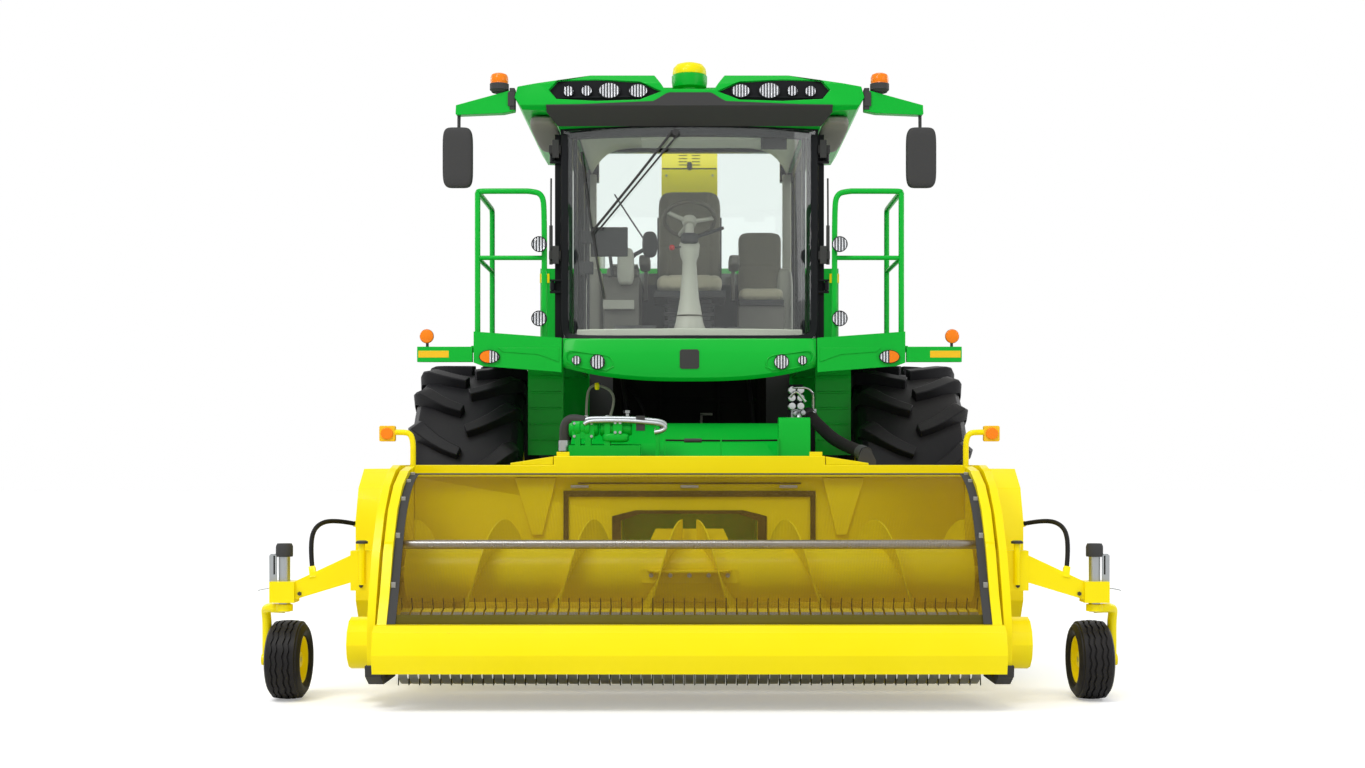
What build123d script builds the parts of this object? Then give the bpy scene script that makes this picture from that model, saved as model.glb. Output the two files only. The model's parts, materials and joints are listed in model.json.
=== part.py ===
"""Self-propelled forage harvester with a windrow pickup header.

Millimetres. The front of the machine faces -Y, +Z is up, and the origin lies on the ground under
the middle of the whole machine, half way along its length.
"""
import os
from math import atan2, cos, degrees, pi, sin, tan

from build123d import *

os.makedirs("parts", exist_ok=True)

# Overall layout
front_axle_y = -1000
rear_axle_y = 2250

# Front wheels
front_tyre_r = 920
front_tyre_w = 660
front_rim_r = 440
front_wheel_x = 1390
front_lug_h = 60
front_lug_count = 18
front_lug = [(12, -100), (12, -42), (165, 20), (316, 100), (318, 36), (185, -42)]

# Rear wheels
rear_tyre_r = 720
rear_tyre_w = 520
rear_rim_r = 370
rear_wheel_x = 1250
rear_lug_h = 50
rear_lug_count = 16
rear_lug = [(12, -85), (12, -33), (130, 18), (246, 85), (248, 27), (145, -36)]
kingpin_x = 930
tyre_bulge = 20

# Running clearances
pin_gap = 0.3
seat_gap = 0.3
face_gap = 6

# Hubs
hub_bore_r = 75
hub_depth = 90
hub_r = 165
hub_inset = 200
rim_disc_t = 24
rim_wall = 16

# Main frame
rail_inner_x = 400
rail_w = 90
rail_bottom_z = 950
rail_top_z = 1150
rail_front_y = -1400
cross_w = 110
cab_post_ys = (-1050, -400)
cab_post_w = 100

# Header lift pivot, cylinders and feeder housing
lift_y = -1250
lift_z = 1050
trunnion_r = 60
feeder_arc_r = 180
feeder_half_w = 390
feeder_wide_x = 700
feeder_front_y = -2560
feeder_lip_z = 1000
feeder_bend_y = -2250
feeder_bend_z = 1260
feeder_top_z = 1440
ram_x = 330
ram_y = -1180
ram_z = 640
ram_eye_y = -2150
ram_eye_z = 440
ram_barrel_r = 50
ram_rod_r = 28
ram_pin_r = 17
ram_eye_bore_r = 27

# Cab
cab_half_w = 790
cab_front_y = -1750
cab_rear_y = -150
cab_floor_z = 1900
cab_floor_t = 40
cab_top_z = 3250
cab_band_h = 60
pillar_w = 70
rear_wall_h = 560
door_gap = 6
door_t = 36
door_bar = 48
door_front_y = -1680
door_rear_y = -640
door_bottom_z = 1950
door_top_z = 3230
door_hinge_x = 845
door_hinge_y = -1700
door_hinge_zs = (2290, 3090)
hinge_pin_r = 10
hinge_barrel_r = 17
hinge_half_h = 24
glass_t = 8
screen_bow = 110
screen_half_w = 774

# Roof
roof_half_w = 1050
roof_front_y = -1980
roof_rear_y = -110
roof_side_z = 3395
roof_shoulder_z = 3460
roof_pod_z = 3550
roof_dip_z = 3446
visor_z = 3348
pod_depth = 30
dip_length = 420
head_half_w = 700
head_front_y = -1540
head_z = 3440
head_post_w = 60

# Platforms beside and behind the cab
deck_top_z = 1893
deck_t = 34
deck_half_w = 1290
deck_front_y = -2050
fender_inner_x = 760
fender_front_y = -2075
fender_t = 40
fascia_half_w = 755
fascia_bottom_z = 1686
fascia_top_z = 1942
fascia_front_y = -2080

# Ladder on the left side, behind the front wheel
ladder_y = 30
ladder_w = 470

# Handrails
rail_tube_r = 17
rail_post_xs = (870, 1290)
rail_end_y = -1260
rail_hoop_y = -1990
rail_top = 2830
rail_mid = 2430

# Engine body
body_front_y = 830
body_rear_y = 3850
rail_rear_y = body_rear_y - 110
drawbar_reach = 260
tail_y = rail_rear_y + drawbar_reach
body_half_w = 1150
body_sill_z = 1500
body_top_z = 2700
body_tail_z = 2480
body_wall = 40
panel_front_y = 1000
panel_rear_y = 3200
panel_bottom_z = 1620
panel_top_z = 2360
panel_t = 34
panel_hinge_out = 16
panel_pin_r = 7
grille_half_w = 840
grille_bottom_z = 1680
grille_top_z = 2360
slat_count = 7
slat_t = 16
exhaust_r = 85
exhaust_x = 760
exhaust_y = 1250

# Spout
turret_y = 530
turret_half_w = 190
turret_arc_r = 225
turret_bottom_z = 2300
spout_pivot_z = 3100
spout_half_w = 206
spout_wall = 10
spout_end_y = 3400
flap_length = 420

# Header
header_half_w = 1530
header_plate_t = 40
header_back_y = -2700
header_top_z = 1189
header_floor_z = 240
mouth_half_w = 380
mouth_top_z = 920
mouth_bottom_z = 460
shield_x = 1750
auger_y = -3110
auger_z = 610
auger_tube_r = 150
auger_flight_r = 290
auger_half_w = 1490
auger_pin_r = 45
reel_pin_r = 30
guard_pin_r = 14
press_pin_r = 10
trough_r = 320
reel_y = -3600
reel_z = 300
reel_tube_r = 90
reel_half_w = 1468
tine_r = 228
hood_reach = 400
nose_y = reel_y - hood_reach
guard_hinge_y = -3080
guard_hinge_z = 1156
guard_half_w = 1520
hood_top_z = 416
hood_bottom_z = 189
press_y = -3560
press_z = 790
press_r = 24

# Gauge wheels of the header
caster_x = 2040
caster_y = -3560
caster_r = 200
caster_w = 180
caster_trail = 95
caster_post_r = 29
caster_bottom_z = 500
caster_top_z = 795

# Hoses: the thick sleeve from the feeder to the header, and a thin one to each gauge wheel arm
feeder_hose_r = 37
feeder_hose_y = -1830
feeder_hose_route = [(728, feeder_hose_y, 1492), (788, -2100, 1400), (868, -2340, 1310), (978, -2641, 1255)]
gauge_hose_r = 12
gauge_hose_route = [(shield_x + 15, -3175, 880), (1865, -3235, 905), (1925, -3380, 880), (1925, -3500, 790),
                    (1900, caster_y, 675)]
bend_share = 0.45

SIDES = ((-1, "right"), (1, "left"))


def save(block, name):
    """Labels a finished piece and writes it as its own STEP file."""
    block.part.label = name
    export_step(block.part, f"parts/{name}.step")


def bar(x0, x1, y0, y1, z0, z1, mode=Mode.ADD):
    """A box between two corners, in whatever block is open."""
    with Locations(((x0 + x1) / 2, (y0 + y1) / 2, (z0 + z1) / 2)):
        Box(abs(x1 - x0), abs(y1 - y0), abs(z1 - z0), mode=mode)


def across(radius, x0, x1, y, z, mode=Mode.ADD):
    """A round bar along X between x0 and x1."""
    with Locations(Location(((x0 + x1) / 2, y, z), (0, 90, 0))):
        Cylinder(radius, abs(x1 - x0), mode=mode)


def upright(radius, x, y, z0, z1, mode=Mode.ADD):
    """A round bar along Z between z0 and z1."""
    with Locations(((x), y, (z0 + z1) / 2)):
        Cylinder(radius, z1 - z0, mode=mode)


def side_profile(points, x0, x1, mode=Mode.ADD):
    """A closed outline in the YZ plane, drawn through points, extruded from x0 to x1."""
    with BuildSketch(Plane.YZ.offset(x0), mode=Mode.PRIVATE) as outline:
        with BuildLine():
            Polyline(*points, close=True)
        make_face()
    extrude(outline.sketch, amount=x1 - x0, mode=mode)


def front_profile(points, y0, y1, mode=Mode.ADD):
    """A closed outline in the XZ plane, drawn through points, extruded from y1 forwards to y0."""
    with BuildSketch(Plane.XZ.offset(-y1), mode=Mode.PRIVATE) as outline:
        with BuildLine():
            Polyline(*points, close=True)
        make_face()
    extrude(outline.sketch, amount=y1 - y0, mode=mode)


def mirrored(points):
    """An outline across the machine, from its points on the left side from top to bottom."""
    return points + [(-x, z) for x, z in reversed(points) if x]


def sided_across(radius, x0, x1, y, z, sides, mode=Mode.ADD):
    """A many-sided bar along X."""
    with BuildSketch(Plane.YZ.offset(min(x0, x1)), mode=Mode.PRIVATE) as outline:
        with Locations((y, z)):
            RegularPolygon(radius, sides)
    extrude(outline.sketch, amount=abs(x1 - x0), mode=mode)


def sided_up(radius, x, y, z0, z1, sides, mode=Mode.ADD):
    """A many-sided bar along Z."""
    with BuildSketch(Plane.XY.offset(z0), mode=Mode.PRIVATE) as outline:
        with Locations((x, y)):
            RegularPolygon(radius, sides)
    extrude(outline.sketch, amount=z1 - z0, mode=mode)


def sided_along(radius, x, y0, y1, z, sides, mode=Mode.ADD):
    """A many-sided bar along Y."""
    with BuildSketch(Plane.XZ.offset(-y1), mode=Mode.PRIVATE) as outline:
        with Locations((x, z)):
            RegularPolygon(radius, sides)
    extrude(outline.sketch, amount=y1 - y0, mode=mode)


def ringed(rings, twisted=False):
    """A closed solid with flat faces through rings of corners. Each side of a twisted one is split in two."""
    corners = [tuple(rings[0]), tuple(rings[-1])]
    for near, far in zip(rings[:-1], rings[1:]):
        for edge, corner in enumerate(near):
            nearby = (edge + 1) % len(near)
            if twisted:
                corners.append((corner, near[nearby], far[nearby]))
                corners.append((corner, far[nearby], far[edge]))
            else:
                corners.append((corner, near[nearby], far[nearby], far[edge]))
    return Solid(Shell([Face(Wire.make_polygon(points)) for points in corners]))


def sided_shell(stations, sides):
    """A turned form about the X axis with flat sides, through stations of x and radius."""
    turns = [2 * pi * step / sides for step in range(sides)]
    add(ringed([[(x, r * cos(turn), r * sin(turn)) for turn in turns] for x, r in stations]))


def socket(end, toward, half_w, depth):
    """A square fitting behind the end of a hose, square to the hose's nearest run."""
    face = Plane(origin=end, z_dir=Vector(end) - Vector(toward))
    with BuildSketch(face.offset(seat_gap), mode=Mode.PRIVATE) as outline:
        Rectangle(2 * half_w, 2 * half_w)
    extrude(outline.sketch, amount=depth)


def sided_route(route, s):
    """A route on the left side, or its mirror image for the right side."""
    return [(s * x, y, z) for x, y, z in route]


# Wheels

def tyre(radius, width, seat_r, lug_h, lug_count, lug_line):
    """A tyre about the X axis: flat-sided carcass and two staggered rows of bent lugs."""
    half = width / 2
    carcass_r = radius - lug_h
    lug_reach = max(v for u, v in lug_line)
    lug_face_r = (radius ** 2 - lug_reach ** 2) ** 0.5
    lug_depth = lug_h + 90
    first = degrees(atan2(lug_reach, lug_face_r)) - 90
    with BuildPart() as made:
        sided_shell([(-half + 60, seat_r + 25), (-half - tyre_bulge, (carcass_r + seat_r) / 2),
                     (-half, carcass_r - 80), (-half + 40, carcass_r), (half - 40, carcass_r),
                     (half, carcass_r - 80), (half + tyre_bulge, (carcass_r + seat_r) / 2),
                     (half - 60, seat_r + 25)], lug_count)
        with BuildPart(mode=Mode.PRIVATE) as lugs:
            for row, row_start in ((1, 0), (-1, 0.5)):
                for step in range(lug_count):
                    turn = (first + (step + row_start) * 360 / lug_count) * pi / 180
                    face = Plane(origin=(0, -lug_face_r * cos(turn), lug_face_r * sin(turn)), x_dir=(1, 0, 0),
                                 z_dir=(0, -cos(turn), sin(turn)))
                    with BuildSketch(face, mode=Mode.PRIVATE) as footprint:
                        with BuildLine():
                            Polyline(*[(row * u, v) for u, v in lug_line], close=True)
                        make_face()
                    extrude(footprint.sketch, amount=-lug_depth)
        add(lugs.part)
        sided_across(seat_r, -half, half, 0, 0, lug_count, mode=Mode.SUBTRACT)
    return made


def rim(seat_r, width, outward, sides):
    """A dished rim with as many flat sides as its tyre: barrel, wheel disc and a hub bored from the inside."""
    half = width / 2 - 62
    inner_face = -outward * hub_inset
    disc_face = inner_face + outward * rim_disc_t
    with BuildPart() as made:
        sided_across(seat_r - seat_gap, -half, half, 0, 0, sides)
        sided_across(seat_r - rim_wall, -half - 1, half + 1, 0, 0, sides, mode=Mode.SUBTRACT)
        sided_across(seat_r - rim_wall + 4, inner_face, disc_face, 0, 0, sides)
        sided_across(hub_r, inner_face, inner_face + outward * (hub_depth + 40), 0, 0, 12)
        across(hub_bore_r, inner_face, inner_face + outward * hub_depth, 0, 0, mode=Mode.SUBTRACT)
    return made


wheels = (
    # end, tyre_r, tyre_w, rim_r, wheel_x, axle_y, lug_h, lug_count, lug
    ("front", front_tyre_r, front_tyre_w, front_rim_r, front_wheel_x, front_axle_y, front_lug_h,
     front_lug_count, front_lug),
    ("rear", rear_tyre_r, rear_tyre_w, rear_rim_r, rear_wheel_x, rear_axle_y, rear_lug_h,
     rear_lug_count, rear_lug),
)
for end, tyre_r, tyre_w, rim_r, wheel_x, axle_y, lug_h, lug_count, lug_line in wheels:
    made_tyre = tyre(tyre_r, tyre_w, rim_r, lug_h, lug_count, lug_line)
    tyre_at_origin = made_tyre.part
    for s, side in SIDES:
        place = Location((s * wheel_x, axle_y, tyre_r))
        made_tyre.part = tyre_at_origin.moved(place)
        save(made_tyre, f"{end}_{side}_tyre")
        made_rim = rim(rim_r, tyre_w, s, lug_count)
        made_rim.part = made_rim.part.moved(place)
        save(made_rim, f"{end}_{side}_rim")

# Axles: the front beam with its final drives, and the rear beam between the kingpin eyes

front_hub_x = front_wheel_x - hub_inset
rear_hub_x = rear_wheel_x - hub_inset
axle_drop = 200
kingpin_r = 35
eye_r = 75
eye_half_h = 70

with BuildPart() as axles:
    bar(-front_hub_x + 130, front_hub_x - 130, front_axle_y - 110, front_axle_y + 110,
        front_tyre_r - axle_drop, front_tyre_r)
    for s, side in SIDES:
        sided_across(190, s * (front_hub_x - 180), s * (front_hub_x - face_gap), front_axle_y, front_tyre_r, 12)
        across(hub_bore_r - pin_gap, s * (front_hub_x - 20), s * (front_hub_x + hub_depth - 12),
               front_axle_y, front_tyre_r)
        bar(s * rail_inner_x, s * (rail_inner_x + rail_w), front_axle_y - 110, front_axle_y + 110,
            front_tyre_r - 20, rail_bottom_z)
        for x in (s * ram_x - 62, s * ram_x + 62):
            side_profile([(front_axle_y - 60, front_tyre_r - axle_drop + 4), (ram_y - 40, ram_z + 40),
                          (ram_y - 40, ram_z - 40), (ram_y + 40, ram_z - 40),
                          (front_axle_y + 60, front_tyre_r - axle_drop + 4)], x - 6, x + 6)
        across(ram_pin_r, s * ram_x - 62, s * ram_x + 62, ram_y, ram_z)
    bar(-kingpin_x + 30, kingpin_x - 30, rear_axle_y - 90, rear_axle_y + 90,
        rear_tyre_r - 90, rear_tyre_r + 90)
    bar(-120, 120, rear_axle_y - 140, rear_axle_y + 140, rear_tyre_r + 60, rail_bottom_z)
    for s, side in SIDES:
        sided_up(eye_r, s * kingpin_x, rear_axle_y, rear_tyre_r - 90, rear_tyre_r + 90, 12)
        upright(kingpin_r, s * kingpin_x, rear_axle_y, rear_tyre_r - 91, rear_tyre_r + 91,
                mode=Mode.SUBTRACT)
save(axles, "axles")

# Steering knuckles: a fork over and under the eye, the kingpin through it, and the stub axle
for s, side in SIDES:
    with BuildPart() as knuckle:
        for z0, z1 in ((-150, -96), (96, 150)):
            bar(s * (kingpin_x - 70), s * (kingpin_x + 110), rear_axle_y - 70, rear_axle_y + 70,
                rear_tyre_r + z0, rear_tyre_r + z1)
        bar(s * (kingpin_x + eye_r + face_gap), s * (rear_hub_x - face_gap),
            rear_axle_y - 70, rear_axle_y + 70, rear_tyre_r - 150, rear_tyre_r + 150)
        upright(kingpin_r - pin_gap, s * kingpin_x, rear_axle_y, rear_tyre_r - 100, rear_tyre_r + 100)
        across(hub_bore_r - pin_gap, s * (rear_hub_x - 20), s * (rear_hub_x + hub_depth - 12),
               rear_axle_y, rear_tyre_r)
    save(knuckle, f"knuckle_{side}")

# Main frame: two rails, cross members, cab posts and the drawbar with its pin hole

drawbar_hole_r = 20
drawbar_t = 60
drawbar_z = 760
drawbar_hole_y = tail_y - 70
body_post_w = 60
engine_front_y = 1100
engine_rear_y = 2500
engine_half_w = 430
engine_top_z = 2050

with BuildPart() as main_frame:
    for s, side in SIDES:
        bar(s * rail_inner_x, s * (rail_inner_x + rail_w), rail_front_y, rail_rear_y,
            rail_bottom_z, rail_top_z)
        across(trunnion_r + pin_gap, s * (rail_inner_x - 1), s * (rail_inner_x + rail_w + 1),
               lift_y, lift_z, mode=Mode.SUBTRACT)
        for y in cab_post_ys:
            bar(s * rail_inner_x, s * (rail_inner_x + rail_w), y, y + cab_post_w,
                rail_top_z, cab_floor_z - cab_floor_t)
        for y in (body_front_y, rail_rear_y - body_post_w):
            bar(s * rail_inner_x, s * (rail_inner_x + rail_w), y, y + body_post_w,
                rail_top_z, body_sill_z - seat_gap)
    for y in (engine_front_y, rear_axle_y - cross_w / 2, rail_rear_y - cross_w):
        bar(-rail_inner_x, rail_inner_x, y, y + cross_w, rail_bottom_z, rail_top_z)
    bar(-90, 90, rail_rear_y - cross_w, rail_rear_y, drawbar_z - drawbar_t / 2, rail_bottom_z)
    bar(-75, 75, rail_rear_y - cross_w, tail_y, drawbar_z - drawbar_t / 2, drawbar_z + drawbar_t / 2)
    upright(drawbar_hole_r, 0, drawbar_hole_y, drawbar_z - drawbar_t, drawbar_z + drawbar_t,
            mode=Mode.SUBTRACT)
save(main_frame, "main_frame")

with BuildPart() as engine_block:
    bar(-engine_half_w, engine_half_w, engine_front_y, engine_rear_y, rail_top_z + seat_gap, engine_top_z)
save(engine_block, "engine_block")

# Crop channel: cutterhead housing, accelerator and the fixed ring under the spout
channel_front_y = lift_y + feeder_arc_r + 12
ring_r = 290
with BuildPart() as crop_channel:
    side_profile([(channel_front_y, 940), (-500, 940), (780, 1350), (780, 2240), (320, 2240),
                  (260, 1850), (-400, 1500), (channel_front_y, 1420)],
                 seat_gap - rail_inner_x, rail_inner_x - seat_gap)
    sided_up(ring_r, 0, turret_y, 2230, turret_bottom_z - seat_gap, 20)
save(crop_channel, "crop_channel")

# Tanks between the wheels
tank_front_y = 60
tank_rear_y = 1240
with BuildPart() as tanks:
    for s, side in SIDES:
        bar(s * (rail_inner_x + rail_w + seat_gap), s * 1240, tank_front_y, tank_rear_y, 700, 1480)
save(tanks, "tanks")

# Feeder housing, which swings on trunnions in the frame rails and carries the header

feeder_line = [(lift_y, lift_z - feeder_arc_r), (feeder_front_y, 330), (feeder_front_y, feeder_lip_z),
               (feeder_bend_y, feeder_bend_z), (-1900, feeder_top_z), (-1620, feeder_top_z), (lift_y, lift_z + feeder_arc_r)]
with BuildPart() as feeder_housing:
    side_profile(feeder_line, -feeder_half_w, feeder_half_w)
    sided_across(feeder_arc_r, -feeder_half_w, feeder_half_w, lift_y, lift_z, 16)
    side_profile([(-1480, 880), (feeder_front_y, 470), (feeder_front_y, feeder_lip_z), (feeder_bend_y, feeder_bend_z),
                  (-1900, feeder_top_z), (-1620, feeder_top_z)], -feeder_wide_x, feeder_wide_x)
    side_profile([(feeder_front_y - 1, mouth_bottom_z), (feeder_front_y + 360, mouth_bottom_z + 145),
                  (feeder_front_y + 360, mouth_top_z), (feeder_front_y - 1, mouth_top_z)],
                 -mouth_half_w, mouth_half_w, mode=Mode.SUBTRACT)
    across(trunnion_r, -rail_inner_x - rail_w, rail_inner_x + rail_w, lift_y, lift_z)
    for s, side in SIDES:
        for x in (s * (ram_x - 45), s * (ram_x + 45)):
            side_profile([(ram_eye_y - 60, ram_eye_z - 30), (ram_eye_y + 60, ram_eye_z - 30),
                          (ram_eye_y + 90, 560), (ram_eye_y - 90, 560)], x - 8, x + 8)
        across(ram_pin_r, s * (ram_x - 45), s * (ram_x + 45), ram_eye_y, ram_eye_z)
save(feeder_housing, "feeder_housing")

# Lift cylinders: barrels pinned under the front axle, rods to the feeder housing
ram_dy = ram_eye_y - ram_y
ram_dz = ram_eye_z - ram_z
ram_length = (ram_dy ** 2 + ram_dz ** 2) ** 0.5
ram_barrel_length = 640
ram_plane = Plane(origin=(0, ram_y, ram_z), x_dir=(1, 0, 0), z_dir=(0, ram_dy, ram_dz))


def along_ram(radius, x, start, stop, sides=0, mode=Mode.ADD):
    """A bar on the line of a lift cylinder, between two distances from its lower pin."""
    with BuildSketch(ram_plane.offset(start), mode=Mode.PRIVATE) as disc:
        with Locations((x, 0)):
            if sides:
                RegularPolygon(radius, sides)
            else:
                Circle(radius)
    extrude(disc.sketch, amount=stop - start, mode=mode)


with BuildPart() as lift_barrels:
    for s, side in SIDES:
        x = s * ram_x
        along_ram(ram_barrel_r, x, 0, ram_barrel_length, sides=10)
        sided_across(ram_barrel_r, x - 30, x + 30, ram_y, ram_z, 10)
        along_ram(ram_rod_r + pin_gap, x, 70, ram_barrel_length + 1, mode=Mode.SUBTRACT)
        across(ram_pin_r + pin_gap, x - 60, x + 60, ram_y, ram_z, mode=Mode.SUBTRACT)
save(lift_barrels, "lift_barrels")

with BuildPart() as lift_rods:
    for s, side in SIDES:
        x = s * ram_x
        along_ram(ram_rod_r, x, ram_barrel_length - 380, ram_length - 32)
        sided_across(48, x - 30, x + 30, ram_eye_y, ram_eye_z, 12)
        across(ram_eye_bore_r, x - 60, x + 60, ram_eye_y, ram_eye_z, mode=Mode.SUBTRACT)
save(lift_rods, "lift_rods")

# Cab


def bow(z0, z1, half_w, outer_y, depth, mode=Mode.ADD):
    """A band bowed forwards in plan, as deep as the screen or rail it makes."""
    with BuildSketch(Plane.XY.offset(z0), mode=Mode.PRIVATE) as band:
        with BuildLine():
            ThreePointArc((-half_w, outer_y), (0, outer_y - screen_bow), (half_w, outer_y))
            Line((half_w, outer_y), (half_w, outer_y + depth))
            ThreePointArc((half_w, outer_y + depth), (0, outer_y - screen_bow + depth), (-half_w, outer_y + depth))
            Line((-half_w, outer_y + depth), (-half_w, outer_y))
        make_face()
    extrude(band.sketch, amount=z1 - z0, mode=mode)


screen_bottom_z = cab_floor_z + cab_band_h
screen_top_z = cab_top_z - cab_band_h
mid_post_y = door_rear_y + 25
window_half_w = head_half_w - head_post_w
with BuildPart() as cab_shell:
    bar(-cab_half_w, cab_half_w, cab_front_y + 30, cab_rear_y, cab_floor_z - cab_floor_t, cab_floor_z)
    bow(cab_floor_z - cab_floor_t, cab_floor_z, screen_half_w, cab_front_y, 60)
    bow(cab_floor_z - 1, screen_bottom_z, screen_half_w, cab_front_y, 50)
    bow(screen_top_z, cab_top_z, screen_half_w, cab_front_y, 50)
    for s, side in SIDES:
        for y0, y1 in ((cab_front_y, cab_front_y + pillar_w), (mid_post_y, mid_post_y + pillar_w),
                       (cab_rear_y - pillar_w, cab_rear_y)):
            bar(s * (cab_half_w - pillar_w), s * cab_half_w, y0, y1, cab_floor_z - 1, cab_top_z)
        bar(s * (cab_half_w - pillar_w), s * cab_half_w, cab_front_y, cab_rear_y,
            cab_top_z - cab_band_h, cab_top_z)
        bar(s * (cab_half_w - pillar_w), s * cab_half_w, cab_front_y, cab_rear_y,
            cab_floor_z - 1, cab_floor_z + cab_band_h)
        for z in door_hinge_zs:
            for z0, z1 in ((z - 42, z - 30), (z + 30, z + 42)):
                bar(s * (cab_half_w - 1), s * (door_hinge_x + 15), door_hinge_y - 18, door_hinge_y + 14, z0, z1)
            upright(hinge_pin_r, s * door_hinge_x, door_hinge_y, z - 42, z + 42)
    bar(-cab_half_w, cab_half_w, cab_rear_y - 50, cab_rear_y, cab_floor_z - 1, cab_floor_z + rear_wall_h)
    for s, side in SIDES:
        bar(s * window_half_w, s * cab_half_w, cab_rear_y - pillar_w, cab_rear_y, cab_top_z - cab_band_h, cab_top_z)
        bar(s * window_half_w, s * (head_half_w - seat_gap), cab_rear_y - pillar_w, cab_rear_y,
            cab_top_z - 1, head_z - seat_gap)
    bar(-window_half_w - 1, window_half_w + 1, cab_rear_y - pillar_w, cab_rear_y, head_z - 40, head_z - seat_gap)
save(cab_shell, "cab_shell")

with BuildPart() as cab_glass:
    bow(cab_floor_z + 12, cab_top_z - 12, screen_half_w, cab_front_y - glass_t - seat_gap, glass_t)
    for s, side in SIDES:
        bar(s * (cab_half_w - 40), s * (cab_half_w - 40 + glass_t), mid_post_y + pillar_w + seat_gap,
            cab_rear_y - pillar_w - seat_gap, screen_bottom_z + seat_gap, screen_top_z - seat_gap)
    bar(-cab_half_w + pillar_w + seat_gap, cab_half_w - pillar_w - seat_gap, cab_rear_y - 35,
        cab_rear_y - 35 + glass_t, cab_floor_z + rear_wall_h + seat_gap, screen_top_z - seat_gap)
    bar(-window_half_w + seat_gap, window_half_w - seat_gap, cab_rear_y - 35, cab_rear_y - 35 + glass_t,
        screen_top_z - 1, head_z - 40 - seat_gap)
save(cab_glass, "cab_glass")

# Doors: a frame of four bars with its hinge barrels, and the pane inside it
door_x = cab_half_w + door_gap
for s, side in SIDES:
    with BuildPart() as door:
        bar(s * door_x, s * (door_x + door_t), door_front_y, door_rear_y, door_bottom_z, door_top_z)
        bar(s * (door_x - 1), s * (door_x + door_t + 1), door_front_y + door_bar, door_rear_y - door_bar,
            door_bottom_z + door_bar, door_top_z - door_bar, mode=Mode.SUBTRACT)
        bar(s * door_x, s * (door_x + door_t), door_front_y + door_bar - 1, door_rear_y - door_bar + 1,
            door_bottom_z + 820, door_bottom_z + 850)
        for z in door_hinge_zs:
            bar(s * (door_x + door_t - 1), s * (door_hinge_x + 8), door_hinge_y + 8, door_hinge_y + 80,
                z - hinge_half_h, z + hinge_half_h)
            upright(hinge_barrel_r, s * door_hinge_x, door_hinge_y, z - hinge_half_h, z + hinge_half_h)
            upright(hinge_pin_r + pin_gap, s * door_hinge_x, door_hinge_y, z - hinge_half_h - 1,
                    z + hinge_half_h + 1, mode=Mode.SUBTRACT)
    save(door, f"door_{side}")
    with BuildPart() as pane:
        for z0, z1 in ((door_bottom_z + door_bar, door_bottom_z + 820), (door_bottom_z + 850, door_top_z - door_bar)):
            bar(s * (door_x + 14), s * (door_x + 14 + glass_t), door_front_y + door_bar + seat_gap,
                door_rear_y - door_bar - seat_gap, z0 + seat_gap, z1 - seat_gap)
    save(pane, f"door_glass_{side}")

# Roof: the outline seen from the front, cut by the outline seen from the side, with two lamp pods
roof_line = [(560, roof_pod_z), (590, roof_pod_z - 10),
             (roof_half_w - 18, roof_shoulder_z), (roof_half_w, roof_side_z), (roof_half_w - 42, visor_z - 21),
             (cab_half_w + 70, visor_z - 28), (cab_half_w + 10, cab_top_z + seat_gap)]
pod_line = [(168, 3432), (300, 3492), (560, 3506), (790, 3500), (845, 3440), (800, 3386), (560, 3374), (300, 3382)]
with BuildPart() as cab_roof:
    front_profile(mirrored(roof_line), roof_front_y, roof_rear_y)
    side_profile([(cab_front_y - screen_bow, cab_top_z), (roof_front_y, visor_z), (roof_front_y, roof_pod_z - 70),
                  (roof_front_y + 50, roof_pod_z - 12), (roof_front_y + 150, roof_pod_z + 1),
                  (roof_rear_y - 300, roof_pod_z + 1), (roof_rear_y, roof_pod_z - 40), (roof_rear_y, cab_top_z)],
                 -roof_half_w - 1, roof_half_w + 1, mode=Mode.INTERSECT)
    front_profile([(150, roof_dip_z), (220, roof_pod_z + 2), (-220, roof_pod_z + 2), (-150, roof_dip_z)],
                  roof_front_y - 1, roof_front_y + dip_length, mode=Mode.SUBTRACT)
    side_profile([(head_front_y, cab_top_z), (head_front_y + 260, head_z), (roof_rear_y + 1, head_z),
                  (roof_rear_y + 1, cab_top_z)], -head_half_w, head_half_w, mode=Mode.SUBTRACT)
    for s, side in SIDES:
        front_profile([(s * x, z) for x, z in pod_line], roof_front_y - 1, roof_front_y + pod_depth,
                      mode=Mode.SUBTRACT)
save(cab_roof, "cab_roof")

gps_y = roof_front_y + 260
dome_sides = 16
dome_line = ((59, 112), (150, 106), (190, 90), (215, 50))
with BuildPart() as gps_receiver:
    sided_up(70, 0, gps_y, roof_dip_z + seat_gap, roof_dip_z + 60, 12)
    dome_turns = [2 * pi * step / dome_sides for step in range(dome_sides)]
    add(ringed([[(r * cos(turn), gps_y + r * sin(turn), roof_dip_z + z) for turn in dome_turns]
                for z, r in dome_line]))
save(gps_receiver, "gps_receiver")

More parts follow.
